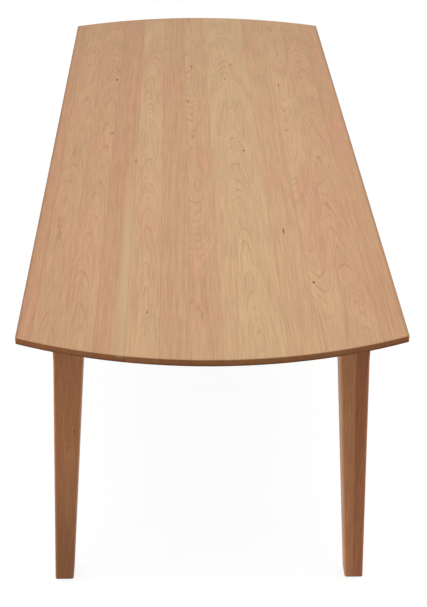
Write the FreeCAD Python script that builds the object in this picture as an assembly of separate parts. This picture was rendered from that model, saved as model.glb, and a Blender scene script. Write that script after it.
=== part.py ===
import FreeCAD, Part
import math
import os
from FreeCAD import Placement, Rotation, Vector

# Dining table whose top parts at a middle seam, with a folding leaf kept under it.
# X runs across the table, Y along it, Z up. The origin is on the floor, below the middle.
# The table is closed here, and the folded leaf lies in the frame, hung on its pivot pins.

# Overall sizes of the closed table
table_length = 2220.0
table_width = 890.0
table_height = 762.0
end_bow = 90.0

# Top boards
top_thickness = 19.0
top_edge_round = 3.0
top_corner_round = 5.0
seam_gap = 0.3

# Leaf, in two wings that fold face to face
leaf_length = 460.0
leaf_slack = 10.0
leaf_face_gap = 0.5
leaf_side_room = 11.75
leaf_end_room = 5.0

# Leaf pivot
pivot_drop = 12.0
pivot_pin_diameter = 9.0
pivot_pin_depth = 40.0
cleat_length = 55.0
cleat_foot_width = 64.0
cleat_crown_width = 36.0
cleat_cover = 8.0
post_width = 48.0
post_shoulder_round = 12.0
post_top_room = 2.0
post_tenon_width = 26.0
post_tenon_thickness = 14.0
post_tenon_depth = 15.0
bush_wall = 2.5
bush_flange = 3.0
bush_flange_thickness = 2.0

# Leaf hinges, a pair of slotted barrels joined by a bowed link
hinge_spacing = 160.0
barrel_diameter = 14.0
barrel_length = 28.0
barrel_slot_depth = 16.0
link_width = 5.0
link_thickness = 5.0
link_reach = 12.0
hinge_pin_diameter = 3.0
hinge_pin_setback = 8.0

# Leaf rest
rest_bar_width = 30.0
rest_bar_thickness = 14.0
rest_bar_edge_distance = 60.0
rest_bar_housing = 8.0
rest_pad_diameter = 25.0
rest_pad_thickness = 3.0
rest_pad_spacing = 300.0

# Dowels in the seam
dowel_diameter = 8.0
dowel_depth = 20.0
dowel_proud = 10.0
dowel_tip = 1.5
dowel_inner_x = 100.0
dowel_outer_x = 330.0

# Legs
leg_top_width = 69.0
leg_foot_width = 46.5
leg_rake = 36.0
leg_edge_round = 6.0
leg_end_inset = 40.0
foot_chamfer = 7.0
glide_diameter = 30.0
glide_thickness = 3.0
glide_nail_diameter = 3.5
glide_nail_length = 18.0

# Aprons
apron_height = 80.0
apron_thickness = 20.0
apron_edge_round = 3.0
side_apron_setback = 6.0
end_apron_setback = 30.0
frame_top_room = 0.5

# Corner blocks and their bolts
corner_block_height = 30.0
corner_block_thickness = 22.0
corner_block_drop = 47.0
hanger_bolt_diameter = 8.0
hanger_bolt_depth = 45.0
hanger_bolt_proud = 15.0
nut_across_flats = 13.0
nut_height = 6.5
washer_diameter = 20.0
washer_thickness = 1.6
block_screw_inset = 20.0
block_screw_seat = 12.0
block_screw_length = 27.0

# Cross rails
cross_rail_height = 35.0
cross_rail_thickness = 30.0
cross_rail_housing = 6.0
outer_cross_rail_setback = 15.0

# Geared slides
slide_height = 45.0
runner_width = 25.0
runner_end_room = 12.0
runner_tail_margin = 5.0
runner_tail_relief = 0.5
runner_drop_room = 0.5
runner_apron_room = 14.0
rail_end_setback = 100.0
run_gap = 0.5
tongue_depth = 8.0
tongue_height = 12.0
tongue_lift = 6.0
tongue_fit = 0.3

# Racks and pinions
gear_module = 2.0
gear_tooth_count = 18
gear_face = 10.0
gear_cover = 6.5
gear_end_play = 1.0
gear_pocket_room = 2.0
gear_backlash = 0.2
pressure_angle = 20.0
dedendum_share = 1.25
rack_backing = 4.5
rack_recess = 1.0
rack_lead_margin = 5.0
axle_diameter = 8.0
axle_foot_depth = 18.0
axle_top_room = 0.5
thrust_washer_diameter = 22.0
thrust_washer_thickness = 0.8

# Battens
batten_width = 50.0
batten_thickness = 22.0
batten_end_bevel = 12.0
batten_end_room = 11.5
batten_setback = 25.0
batten_screw_spacing = 180.0

# Wood screws
screw_diameter = 5.0
screw_head_diameter = 9.6
screw_head_height = 2.8
screw_tip = 4.0
screw_bite = 12.0
runner_screw_count = 4
runner_screw_inset = 60.0
runner_screw_setback = 9.0
runner_screw_seat = 24.0
rail_screw_bite = 18.0
counterbore_diameter = 10.4

# Seam locks
lock_plate_width = 26.0
lock_plate_length = 30.0
lock_plate_thickness = 3.0
lock_plate_inset = 4.0
lock_pitch = 36.0
lock_apron_room = 4.5
lock_stud_diameter = 8.0
lock_stud_head_diameter = 14.0
lock_stud_head_height = 2.0
lock_pin_diameter = 6.0
lock_pin_tail = 1.0
lever_thickness = 4.0
lever_boss_radius = 9.0
lever_arm_width = 12.0
lever_hook_width = 20.0
lever_hook_length = 16.0
lever_tab_length = 18.0
lever_slot_fit = 0.4

# Fits
turning_fit = 0.05
seat_fit = 0.05
dowel_fit = 0.3
hole_end_room = 1.5
link_fit = 0.1
pad_gap = 0.3
overrun = 5.0
touch = 0.01

# Heights worked out from the sizes above
top_under = table_height - top_thickness
frame_top = top_under - frame_top_room
apron_low = frame_top - apron_height
slide_low = top_under - slide_height
cross_rail_low = slide_low - cross_rail_height
pivot_z = top_under - pivot_drop
wing_upper_low = 2 * pivot_z - table_height
wing_upper_top = wing_upper_low + top_thickness
wing_lower_top = wing_upper_low - leaf_face_gap
wing_lower_low = wing_lower_top - top_thickness
hinge_drop = top_thickness + leaf_face_gap
pad_top = wing_lower_low - pad_gap
rest_bar_top = pad_top - rest_pad_thickness
gear_top = frame_top - gear_cover - gear_end_play
gear_low = gear_top - gear_face
tongue_low = slide_low + tongue_lift
tongue_top = tongue_low + tongue_height
corner_block_top = frame_top - corner_block_drop
corner_block_low = corner_block_top - corner_block_height
lever_top = top_under - lock_plate_thickness - lever_slot_fit
lever_low = lever_top - lever_thickness

# Gear sizes
gear_pitch_radius = gear_module * gear_tooth_count / 2
gear_tip_radius = gear_pitch_radius + gear_module
gear_root_radius = gear_pitch_radius - dedendum_share * gear_module
tooth_pitch = math.pi * gear_module
rack_root = gear_pitch_radius + dedendum_share * gear_module
rack_back = rack_root + rack_backing
rail_half_width = gear_pitch_radius - gear_module - rack_recess

# Places along the table
corner_y = table_length / 2 - end_bow
travel = (leaf_length + leaf_slack) / 2
leg_out_y = corner_y - leg_end_inset
leg_in_y = leg_out_y - leg_top_width
end_apron_out_y = leg_out_y - end_apron_setback
end_apron_in_y = end_apron_out_y - apron_thickness
runner_end_y = leg_in_y - travel - runner_end_room
rail_end_y = runner_end_y - rail_end_setback
rack_lead = gear_tip_radius + rack_lead_margin
rack_tail = travel + rack_lead
runner_tail = rack_tail + runner_tail_margin
leaf_end_y = leaf_length / 2
mid_cross_rail_y = leaf_end_y + dowel_proud + leaf_end_room
outer_cross_rail_y = rail_end_y - outer_cross_rail_setback - cross_rail_thickness
batten_y = runner_end_y - batten_setback
lock_stud_y = lock_pitch / 2

# Places across the table
leaf_half_x = table_width / 4
pivot_x = -leaf_half_x / 2
link_proud = (hinge_drop + link_width) / 2
runner_in_x = leaf_half_x + link_proud + leaf_side_room
runner_face_x = runner_in_x + runner_width
rail_x = runner_face_x + run_gap + rail_half_width
apron_in_x = 2 * rail_x - runner_in_x + runner_apron_room
apron_out_x = apron_in_x + apron_thickness
leg_out_x = apron_out_x + side_apron_setback
leg_in_x = leg_out_x - leg_top_width
rest_bar_x = leaf_half_x - rest_bar_edge_distance
lever_reach = lock_pitch + lever_hook_length / 2
lock_x = apron_out_x + lever_reach + lock_apron_room
dowel_places = (-dowel_outer_x, -dowel_inner_x, dowel_inner_x, dowel_outer_x)

# Sides of the table: the front is the end at -Y
SIDES = (("left", -1), ("right", 1))
ENDS = (("front", -1), ("back", 1))
ORIGIN = Vector(0, 0, 0)
X_AXIS = Vector(1, 0, 0)
Y_AXIS = Vector(0, 1, 0)
Z_AXIS = Vector(0, 0, 1)


def about(middle, width):
    """Limits of a width centred on a place."""
    return (middle - width / 2, middle + width / 2)


def block(x_limits, y_limits, z_limits):
    """Box between two limits on each axis, given in either order."""
    low = Vector(min(x_limits), min(y_limits), min(z_limits))
    high = Vector(max(x_limits), max(y_limits), max(z_limits))
    size = high - low
    return Part.makeBox(size.x, size.y, size.z, low)


def prism(outline, sweep):
    """Straight-sided outline swept along a vector."""
    wire = Part.makePolygon(outline + [outline[0]])
    return Part.Face(wire).extrude(sweep)


def turned(profile, base, direction):
    """Solid of revolution: the profile holds (radius, height) pairs along the direction."""
    outline = [Vector(radius, 0, height) for radius, height in profile]
    face = Part.Face(Part.makePolygon(outline + [outline[0]]))
    solid = face.revolve(ORIGIN, Z_AXIS, 360)
    solid.Placement = Placement(base, Rotation(Z_AXIS, direction))
    return solid


def rod(radius, base, direction, length):
    """Plain round bar."""
    return Part.makeCylinder(radius, length, base, direction)


def tube(outer_radius, inner_radius, base, direction, length):
    """Round bar with a bore along it."""
    profile = [(inner_radius, 0), (outer_radius, 0), (outer_radius, length), (inner_radius, length)]
    return turned(profile, base, direction)


def ease(shape, radius, chosen):
    """Round the edges whose middle point passes the test."""
    edges = [edge for edge in shape.Edges if chosen(edge.CenterOfMass)]
    return shape.makeFillet(radius, edges)


def mirror_x(shape):
    """The same piece on the other side of the table."""
    return shape.mirror(ORIGIN, X_AXIS)


def mirror_y(shape):
    """The same piece at the other end of the table."""
    return shape.mirror(ORIGIN, Y_AXIS)


def on_side(shape, side):
    """A right-hand piece, or its left-hand twin."""
    return shape if side > 0 else mirror_x(shape)


def at_end(shape, end):
    """A back piece, or its front twin."""
    return shape if end > 0 else mirror_y(shape)


def without(shape, cutters):
    """Cut a list of solids out of a piece."""
    return shape.cut(Part.makeCompound(cutters)) if cutters else shape


def near(value, target):
    """True where two places are the same."""
    return abs(value - target) < touch


def save(name, solids):
    """Write one node as one STEP file."""
    Part.makeCompound(solids).exportStep(os.path.join("parts", name + ".step"))


# Screws and dowels

def screw(base, direction, length, room=0):
    """Countersunk wood screw from its head, or its hole where room is given."""
    shank = screw_diameter / 2 + room
    head = screw_head_diameter / 2 + room
    profile = [
        (0, 0),
        (head, 0),
        (shank, screw_head_height + room),
        (shank, length - screw_tip + room),
        (0, length + room),
    ]
    return turned(profile, base, direction)


def screw_holes(places, direction, length):
    """Holes for screws whose heads sit in counterbores that run out behind them."""
    holes = [screw(place, direction, length, seat_fit) for place in places]
    bore = counterbore_diameter / 2
    depth = slide_height + overrun
    return holes + [rod(bore, place - direction * depth, direction, depth) for place in places]


def dowel(base, direction):
    """Round dowel, chamfered at both ends, from its buried end."""
    radius = dowel_diameter / 2
    length = dowel_depth + dowel_proud
    profile = [
        (0, 0),
        (radius - dowel_tip, 0),
        (radius, dowel_tip),
        (radius, length - dowel_tip),
        (radius - dowel_tip, length),
        (0, length),
    ]
    return turned(profile, base, direction)


def dowel_seat(edge, direction):
    """Glued hole that holds a dowel, from the edge that it stands out of."""
    return rod(dowel_diameter / 2 + seat_fit, edge - direction * dowel_depth, direction, dowel_depth)


def dowel_socket(edge, direction):
    """Free hole that a dowel slides into, from the edge inwards."""
    return rod(dowel_diameter / 2 + dowel_fit, edge, direction, dowel_proud + hole_end_room)


# Top halves

def plain_half_top():
    """Back half of the top, bowed at its end and eased all round but at the seam."""
    half_width = table_width / 2
    seam = seam_gap / 2
    inner_left = Vector(-half_width, seam, top_under)
    outer_left = Vector(-half_width, corner_y, top_under)
    crown = Vector(0, table_length / 2, top_under)
    outer_right = Vector(half_width, corner_y, top_under)
    inner_right = Vector(half_width, seam, top_under)
    edges = [
        Part.LineSegment(inner_left, outer_left).toShape(),
        Part.Arc(outer_left, crown, outer_right).toShape(),
        Part.LineSegment(outer_right, inner_right).toShape(),
        Part.LineSegment(inner_right, inner_left).toShape(),
    ]
    board = Part.Face(Part.Wire(edges)).extrude(Z_AXIS * top_thickness)
    board = ease(board, top_corner_round, lambda point: near(point.y, corner_y))

    def on_rim(point):
        level = near(point.z, top_under) or near(point.z, table_height)
        return level and point.y > seam_gap

    return ease(board, top_edge_round, on_rim)


def seam_points():
    """Places of the dowels on the seam, halfway up the boards."""
    height = top_under + top_thickness / 2
    return [Vector(x, 0, height) for x in dowel_places]


def half_top(end):
    """One half of the top with its screw holes and dowel holes."""
    board = at_end(plain_half_top(), end)
    seam = Y_AXIS * (end * seam_gap / 2)
    into_seam = -Y_AXIS
    if end > 0:
        holes = [dowel_seat(point + seam, into_seam) for point in seam_points()]
    else:
        holes = [dowel_socket(point + seam, into_seam) for point in seam_points()]
    for _, side in SIDES:
        places = runner_screw_places(end, side)
        holes += [screw(place, Z_AXIS, runner_screw_length(), seat_fit) for place in places]
    holes += [screw(place, Z_AXIS, batten_screw_length(), seat_fit) for place in batten_screw_places(end)]
    return without(board, holes)


def top_dowels():
    """Dowels that stand out of the back half's seam."""
    seam = Y_AXIS * (seam_gap / 2 + dowel_depth)
    return [dowel(point + seam, -Y_AXIS) for point in seam_points()]


# Battens that keep each half flat

def batten_screw_places(end):
    """Screw heads on a batten's lower face."""
    low = top_under - batten_thickness
    return [Vector(step * batten_screw_spacing, end * batten_y, low) for step in (-1, 0, 1)]


def batten_screw_length():
    """From the batten's lower face into the top."""
    return batten_thickness + screw_bite


def batten(end):
    """Bevel-ended batten across one half, between the runners."""
    half = runner_in_x - batten_end_room
    y_low = end * batten_y - batten_width / 2
    low = top_under - batten_thickness
    outline = [
        Vector(-half, y_low, top_under),
        Vector(-half, y_low, low + batten_end_bevel),
        Vector(-half + batten_end_bevel, y_low, low),
        Vector(half - batten_end_bevel, y_low, low),
        Vector(half, y_low, low + batten_end_bevel),
        Vector(half, y_low, top_under),
    ]
    bar = prism(outline, Y_AXIS * batten_width)
    holes = [screw(place, Z_AXIS, batten_screw_length(), seat_fit) for place in batten_screw_places(end)]
    return without(bar, holes)


def batten_screws(end):
    """Screws of one batten."""
    return [screw(place, Z_AXIS, batten_screw_length()) for place in batten_screw_places(end)]


# Geared slides: on each side a fixed rail between a front and a back runner

def as_back_runner(shape):
    """A right-hand front runner's piece, turned about the pinion to the back runner's place."""
    turned_shape = shape.copy()
    turned_shape.rotate(Vector(rail_x, 0, 0), Z_AXIS, 180)
    return turned_shape


def slide_piece(shape, end, side):
    """A right-hand front slide piece, placed for one half and one side."""
    placed = shape if end < 0 else as_back_runner(shape)
    return on_side(placed, side)


def front_runner_screw_places():
    """Screw heads of the right-hand front runner, up in its counterbores."""
    first = runner_end_y - runner_screw_inset
    step = (first - runner_screw_inset) / (runner_screw_count - 1)
    x = runner_in_x + runner_screw_setback
    head = top_under - runner_screw_seat
    return [Vector(x, index * step - first, head) for index in range(runner_screw_count)]


def runner_screw_places(end, side):
    """Screw heads of one runner."""
    places = front_runner_screw_places()
    if end > 0:
        places = [Vector(2 * rail_x - place.x, -place.y, place.z) for place in places]
    return [Vector(side * place.x, place.y, place.z) for place in places]


def runner_screw_length():
    """From the counterbore's floor into the top."""
    return runner_screw_seat + screw_bite


def runner():
    """Right-hand front runner: screwed to the front half, with a tail under the back half."""
    x_limits = (runner_in_x, runner_face_x)
    bar = block(x_limits, (-runner_end_y, runner_tail), (slide_low + runner_drop_room, top_under))
    relief = block(
        (runner_in_x - overrun, runner_face_x + overrun),
        (-runner_tail_margin, runner_tail + overrun),
        (top_under - runner_tail_relief, top_under + overrun),
    )
    groove = block(
        (runner_face_x + run_gap - tongue_depth - tongue_fit, runner_face_x + overrun),
        (-runner_end_y - overrun, runner_tail + overrun),
        (tongue_low - tongue_fit, tongue_top + tongue_fit),
    )
    rack_slot = block(
        (rail_x - rack_back - seat_fit, runner_face_x + overrun),
        (-rack_lead, rack_tail),
        (gear_low - seat_fit, gear_top + seat_fit),
    )
    holes = screw_holes(front_runner_screw_places(), Z_AXIS, runner_screw_length())
    return without(bar, [relief, groove, rack_slot] + holes)


def runner_screws(end):
    """Screws of both runners of one half."""
    length = runner_screw_length()
    places = runner_screw_places(end, -1) + runner_screw_places(end, 1)
    return [screw(place, Z_AXIS, length) for place in places]


def rack():
    """Right-hand front rack, with a tooth space facing the pinion when the table is closed."""
    slope = math.tan(math.radians(pressure_angle))
    half_pitch_line = (tooth_pitch / 2 - gear_backlash) / 2
    half_tip = half_pitch_line - gear_module * slope
    half_foot = half_pitch_line + dedendum_share * gear_module * slope
    tip_x = rail_x - gear_pitch_radius + gear_module
    root_x = rail_x - rack_root
    back_x = rail_x - rack_back
    first = math.ceil((-rack_lead + half_foot) / tooth_pitch - 1 / 2)
    last = math.floor((rack_tail - half_foot) / tooth_pitch - 1 / 2)
    outline = [Vector(back_x, rack_tail, gear_low), Vector(back_x, -rack_lead, gear_low)]
    outline.append(Vector(root_x, -rack_lead, gear_low))
    for index in range(first, last + 1):
        middle = (index + 1 / 2) * tooth_pitch
        outline.append(Vector(root_x, middle - half_foot, gear_low))
        outline.append(Vector(tip_x, middle - half_tip, gear_low))
        outline.append(Vector(tip_x, middle + half_tip, gear_low))
        outline.append(Vector(root_x, middle + half_foot, gear_low))
    outline.append(Vector(root_x, rack_tail, gear_low))
    return prism(outline, Z_AXIS * gear_face)


def involute(angle):
    """Involute function of a pressure angle in radians."""
    return math.tan(angle) - angle


def pinion():
    """Right-hand pinion with involute teeth, one of them pointing straight at each rack."""
    working = math.radians(pressure_angle)
    base_radius = gear_pitch_radius * math.cos(working)
    middle_radius = (base_radius + gear_tip_radius) / 2
    pitch_half_angle = (tooth_pitch / 2 - gear_backlash) / 2 / gear_pitch_radius

    def half_angle(radius):
        return pitch_half_angle + involute(working) - involute(math.acos(base_radius / radius))

    def at(radius, angle):
        return Vector(rail_x + radius * math.cos(angle), radius * math.sin(angle), gear_low)

    step = 2 * math.pi / gear_tooth_count
    base_half = half_angle(base_radius)
    middle_half = half_angle(middle_radius)
    tip_half = half_angle(gear_tip_radius)
    edges = []
    for index in range(gear_tooth_count):
        middle = index * step
        following = middle + step
        root_in = at(gear_root_radius, middle - base_half)
        base_in = at(base_radius, middle - base_half)
        tip_in = at(gear_tip_radius, middle - tip_half)
        tip_out = at(gear_tip_radius, middle + tip_half)
        base_out = at(base_radius, middle + base_half)
        root_out = at(gear_root_radius, middle + base_half)
        root_next = at(gear_root_radius, following - base_half)
        edges += [
            Part.LineSegment(root_in, base_in).toShape(),
            Part.Arc(base_in, at(middle_radius, middle - middle_half), tip_in).toShape(),
            Part.Arc(tip_in, at(gear_tip_radius, middle), tip_out).toShape(),
            Part.Arc(tip_out, at(middle_radius, middle + middle_half), base_out).toShape(),
            Part.LineSegment(base_out, root_out).toShape(),
            Part.Arc(root_out, at(gear_root_radius, middle + step / 2), root_next).toShape(),
        ]
    wheel = Part.Face(Part.Wire(edges)).extrude(Z_AXIS * gear_face)
    bore_base = Vector(rail_x, 0, gear_low - overrun)
    bore_length = gear_face + 2 * overrun
    return wheel.cut(rod(axle_diameter / 2 + turning_fit, bore_base, Z_AXIS, bore_length))


def axle_length():
    """From the axle's foot below the pinion to just under the rail's top."""
    return frame_top - axle_top_room - gear_low + axle_foot_depth


def axle_foot():
    """Lower end of the right-hand pinion's axle."""
    return Vector(rail_x, 0, gear_low - axle_foot_depth)


def gear_axle():
    """Pin that the right-hand pinion turns on."""
    return rod(axle_diameter / 2, axle_foot(), Z_AXIS, axle_length())


def thrust_washer():
    """Washer that carries the right-hand pinion in its pocket."""
    low = Vector(rail_x, 0, gear_low - gear_end_play)
    inner = axle_diameter / 2 + turning_fit
    return tube(thrust_washer_diameter / 2, inner, low, Z_AXIS, thrust_washer_thickness)


def cross_rail_places():
    """Inner faces of the cross rails, as distances from the middle of the table."""
    return {"mid": mid_cross_rail_y, "outer": outer_cross_rail_y}


def cross_rail_middles():
    """Middles of all four cross rails along the table."""
    half = cross_rail_thickness / 2
    return [end * (place + half) for _, end in ENDS for place in cross_rail_places().values()]


def rail_screw_length():
    """Through a cross rail, up into a slide rail."""
    return cross_rail_height + rail_screw_bite


def rail_screw_places():
    """Screw heads under the cross rails, below both slide rails."""
    return [Vector(side * rail_x, y, cross_rail_low) for _, side in SIDES for y in cross_rail_middles()]


def rail_screw_holes():
    """Holes of the screws that hold the slide rails down."""
    return [screw(place, Z_AXIS, rail_screw_length(), seat_fit) for place in rail_screw_places()]


def rail_screws():
    """Screws that hold the slide rails down on the cross rails."""
    return [screw(place, Z_AXIS, rail_screw_length()) for place in rail_screw_places()]


def slide_rail():
    """Right-hand fixed rail: a tongue on each side and a pocket for the pinion."""
    y_limits = (-rail_end_y, rail_end_y)
    bar = block(about(rail_x, 2 * rail_half_width), y_limits, (slide_low, frame_top))
    tongue_width = 2 * (rail_half_width + tongue_depth)
    bar = bar.fuse(block(about(rail_x, tongue_width), y_limits, (tongue_low, tongue_top)))
    pocket = block(
        about(rail_x, tongue_width),
        about(0, 2 * (gear_tip_radius + gear_pocket_room)),
        (gear_low - gear_end_play, gear_top + gear_end_play),
    )
    axle_hole = rod(axle_diameter / 2 + seat_fit, axle_foot(), Z_AXIS, axle_length() + overrun)
    return without(bar.removeSplitter(), [pocket, axle_hole] + rail_screw_holes())


# Frame: legs, aprons, corner blocks and cross rails

def leg_section(middle_x, middle_y, width, height):
    """Square section of a leg with rounded corners, as a closed wire."""
    half = width / 2
    flat = half - leg_edge_round
    bulge = flat + leg_edge_round / math.sqrt(2)
    quarter = Rotation(Z_AXIS, 90)
    side_from = Vector(half, -flat, 0)
    side_to = Vector(half, flat, 0)
    corner = Vector(bulge, bulge, 0)
    corner_to = Vector(flat, half, 0)
    middle = Vector(middle_x, middle_y, height)
    edges = []
    turn = Rotation()
    for _ in range(4):
        points = [turn.multVec(point) + middle for point in (side_from, side_to, corner, corner_to)]
        edges.append(Part.LineSegment(points[0], points[1]).toShape())
        edges.append(Part.Arc(points[1], points[2], points[3]).toShape())
        turn = quarter.multiply(turn)
    return Part.Wire(edges)


def leg_middle():
    """Middle of the back right leg's square block."""
    return Vector(leg_out_x - leg_top_width / 2, leg_out_y - leg_top_width / 2, 0)


def foot_middle():
    """Middle of the back right leg's foot, raked out towards the corner."""
    return leg_middle() + Vector(leg_rake, leg_rake, 0)


def bolt_line():
    """Start of the back right corner's bolt line at the leg's inner edge, and its direction."""
    height = (corner_block_low + corner_block_top) / 2
    return Vector(leg_in_x, leg_in_y, height), Vector(1, 1, 0).normalize()


def bolt_hole():
    """Hole for the back right hanger bolt, through the block and into the leg."""
    start, direction = bolt_line()
    base = start - direction * (corner_block_thickness + overrun)
    length = corner_block_thickness + overrun + hanger_bolt_depth
    return rod(hanger_bolt_diameter / 2 + seat_fit, base, direction, length)


def leg():
    """Back right leg: a square block at the aprons, then a taper that rakes out to the foot."""
    top = leg_middle()
    foot = foot_middle()
    sections = [
        leg_section(top.x, top.y, leg_top_width, frame_top),
        leg_section(top.x, top.y, leg_top_width, apron_low),
        leg_section(foot.x, foot.y, leg_foot_width, glide_thickness + foot_chamfer),
        leg_section(foot.x, foot.y, leg_foot_width - 2 * foot_chamfer, glide_thickness),
    ]
    post = Part.makeLoft(sections, True, True)
    nail_base = Vector(foot.x, foot.y, glide_thickness - overrun)
    nail_hole = rod(glide_nail_diameter / 2 + seat_fit, nail_base, Z_AXIS, glide_nail_length + overrun)
    return without(post, [bolt_hole(), nail_hole])


def glide():
    """Nail-on glide under the back right foot."""
    disc = glide_diameter / 2
    nail = glide_nail_diameter / 2
    tip = glide_thickness + glide_nail_length
    profile = [
        (0, 0),
        (disc - glide_thickness / 2, 0),
        (disc, glide_thickness / 2),
        (disc, glide_thickness),
        (nail, glide_thickness),
        (nail, tip - glide_nail_diameter),
        (0, tip),
    ]
    return turned(profile, foot_middle(), Z_AXIS)


def side_apron():
    """Right-hand apron, housed for the ends of the cross rails."""
    bar = block((apron_in_x, apron_out_x), (-leg_in_y, leg_in_y), (apron_low, frame_top))

    def on_outer_edge(point):
        return near(point.x, apron_out_x) and near(point.z, apron_low)

    bar = ease(bar, apron_edge_round, on_outer_edge)
    housings = [plain_cross_rail(middle) for middle in cross_rail_middles()]
    return without(bar, housings + [block_screw_hole(0, 1), mirror_y(block_screw_hole(0, 1))])


def end_apron():
    """Back apron between the legs."""
    bar = block((-leg_in_x, leg_in_x), (end_apron_in_y, end_apron_out_y), (apron_low, frame_top))

    def on_outer_edge(point):
        return near(point.y, end_apron_out_y) and near(point.z, apron_low)

    bar = ease(bar, apron_edge_round, on_outer_edge)
    return without(bar, [block_screw_hole(1, 0), mirror_x(block_screw_hole(1, 0))])


def block_diagonal():
    """Sum of X and Y all along the back right corner block's slanted face."""
    start, _ = bolt_line()
    return start.x + start.y - math.sqrt(2) * corner_block_thickness


def block_screw_place(across, along):
    """Head of a back right corner block screw: into the side apron or into the end apron."""
    start, _ = bolt_line()
    side_y = block_diagonal() - apron_in_x + block_screw_inset
    end_x = block_diagonal() - end_apron_in_y + block_screw_inset
    side_place = Vector(apron_in_x - block_screw_seat, side_y, start.z)
    end_place = Vector(end_x, end_apron_in_y - block_screw_seat, start.z)
    return side_place * along + end_place * across


def block_screw_hole(across, along):
    """Hole of a back right corner block screw in the apron and the block."""
    direction = X_AXIS * along + Y_AXIS * across
    return screw(block_screw_place(across, along), direction, block_screw_length, seat_fit)


def corner_block_screws():
    """Screws of the back right corner block, one into each apron."""
    side_screw = screw(block_screw_place(0, 1), X_AXIS, block_screw_length)
    end_screw = screw(block_screw_place(1, 0), Y_AXIS, block_screw_length)
    return [side_screw, end_screw]


def corner_block():
    """Back right corner block, fitted round the leg's inner edge."""
    diagonal = block_diagonal()
    low = corner_block_low
    outline = [
        Vector(apron_in_x, diagonal - apron_in_x, low),
        Vector(apron_in_x, leg_in_y, low),
        Vector(leg_in_x, leg_in_y, low),
        Vector(leg_in_x, end_apron_in_y, low),
        Vector(diagonal - end_apron_in_y, end_apron_in_y, low),
    ]
    body = prism(outline, Z_AXIS * corner_block_height)
    side_holes = screw_holes([block_screw_place(0, 1)], X_AXIS, block_screw_length)
    end_holes = screw_holes([block_screw_place(1, 0)], Y_AXIS, block_screw_length)
    return without(body, [bolt_hole()] + side_holes + end_holes)


def hanger_bolt():
    """Bolt from the back right leg through its corner block."""
    start, direction = bolt_line()
    back = corner_block_thickness + hanger_bolt_proud
    radius = hanger_bolt_diameter / 2
    tip = back + hanger_bolt_depth
    profile = [(0, 0), (radius, 0), (radius, tip - hanger_bolt_diameter), (0, tip)]
    return turned(profile, start - direction * back, direction)


def bolt_washer():
    """Washer on the back right hanger bolt."""
    start, direction = bolt_line()
    base = start - direction * (corner_block_thickness + washer_thickness)
    return tube(washer_diameter / 2, hanger_bolt_diameter / 2 + seat_fit, base, direction, washer_thickness)


def bolt_nut():
    """Hexagon nut on the back right hanger bolt."""
    start, direction = bolt_line()
    base = start - direction * (corner_block_thickness + washer_thickness + nut_height)
    corner = X_AXIS * (nut_across_flats / math.sqrt(3))
    outline = [Rotation(Z_AXIS, 60 * index).multVec(corner) for index in range(6)]
    nut = prism(outline, Z_AXIS * nut_height)
    bore_radius = hanger_bolt_diameter / 2 + seat_fit
    nut = nut.cut(rod(bore_radius, -Z_AXIS * overrun, Z_AXIS, nut_height + 2 * overrun))
    nut.Placement = Placement(base, Rotation(Z_AXIS, direction))
    return nut


def at_all_corners(shape):
    """A back right corner piece, repeated at the four corners."""
    return [on_side(at_end(shape, end), side) for _, end in ENDS for _, side in SIDES]


def plain_cross_rail(middle):
    """Bar between the side aprons, let into both."""
    half = apron_in_x + cross_rail_housing
    return block((-half, half), about(middle, cross_rail_thickness), (cross_rail_low, slide_low))


def cross_rail(end, place):
    """One cross rail; the two by the leaf also carry a pivot post and the rest bar."""
    middle = end * (cross_rail_places()[place] + cross_rail_thickness / 2)
    cutters = rail_screw_holes()
    if place == "mid":
        cutters += [rest_bar(), at_end(post_tenon(), end)]
    return without(plain_cross_rail(middle), cutters)


# Leaf store: posts, bushes and rest

def post_tenon():
    """Stub tenon under the back pivot post."""
    middle = mid_cross_rail_y + cross_rail_thickness / 2
    return block(
        about(pivot_x, post_tenon_width),
        about(middle, post_tenon_thickness),
        (slide_low - post_tenon_depth, slide_low),
    )


def pivot_post():
    """Back post that carries a leaf pivot, tenoned into its cross rail."""
    y_limits = (mid_cross_rail_y, mid_cross_rail_y + cross_rail_thickness)
    top = top_under - post_top_room
    body = block(about(pivot_x, post_width), y_limits, (slide_low, top))

    def on_shoulder(point):
        return near(point.z, top) and near(point.y, sum(y_limits) / 2)

    body = ease(body, post_shoulder_round, on_shoulder)
    body = body.fuse(post_tenon()).removeSplitter()
    bore_radius = pivot_pin_diameter / 2 + turning_fit + bush_wall + seat_fit
    base = Vector(pivot_x, mid_cross_rail_y - overrun, pivot_z)
    return body.cut(rod(bore_radius, base, Y_AXIS, cross_rail_thickness + 2 * overrun))


def pivot_bush():
    """Flanged bush in the back pivot post."""
    inner = pivot_pin_diameter / 2 + turning_fit
    outer = inner + bush_wall
    flange = outer + bush_flange
    profile = [
        (inner, -bush_flange_thickness),
        (flange, -bush_flange_thickness),
        (flange, 0),
        (outer, 0),
        (outer, cross_rail_thickness),
        (inner, cross_rail_thickness),
    ]
    return turned(profile, Vector(pivot_x, mid_cross_rail_y, pivot_z), Y_AXIS)


def rest_bar():
    """Bar below the leaf's free edge, let into the two cross rails by the leaf."""
    length = 2 * (mid_cross_rail_y + rest_bar_housing)
    z_limits = (rest_bar_top - rest_bar_thickness, rest_bar_top)
    return block(about(rest_bar_x, rest_bar_width), about(0, length), z_limits)


def rest_pads():
    """Felt pads on the rest bar."""
    places = [Vector(rest_bar_x, y, rest_bar_top) for y in about(0, rest_pad_spacing)]
    return [rod(rest_pad_diameter / 2, place, Z_AXIS, rest_pad_thickness) for place in places]


# Folded leaf

def hinge_places():
    """Places of the hinges along the leaf's folded edge."""
    return (-hinge_spacing, 0, hinge_spacing)


def barrel_heights():
    """Middles of the upper and the lower wing's edges."""
    upper = wing_upper_low + top_thickness / 2
    return (upper, upper - hinge_drop)


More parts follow.
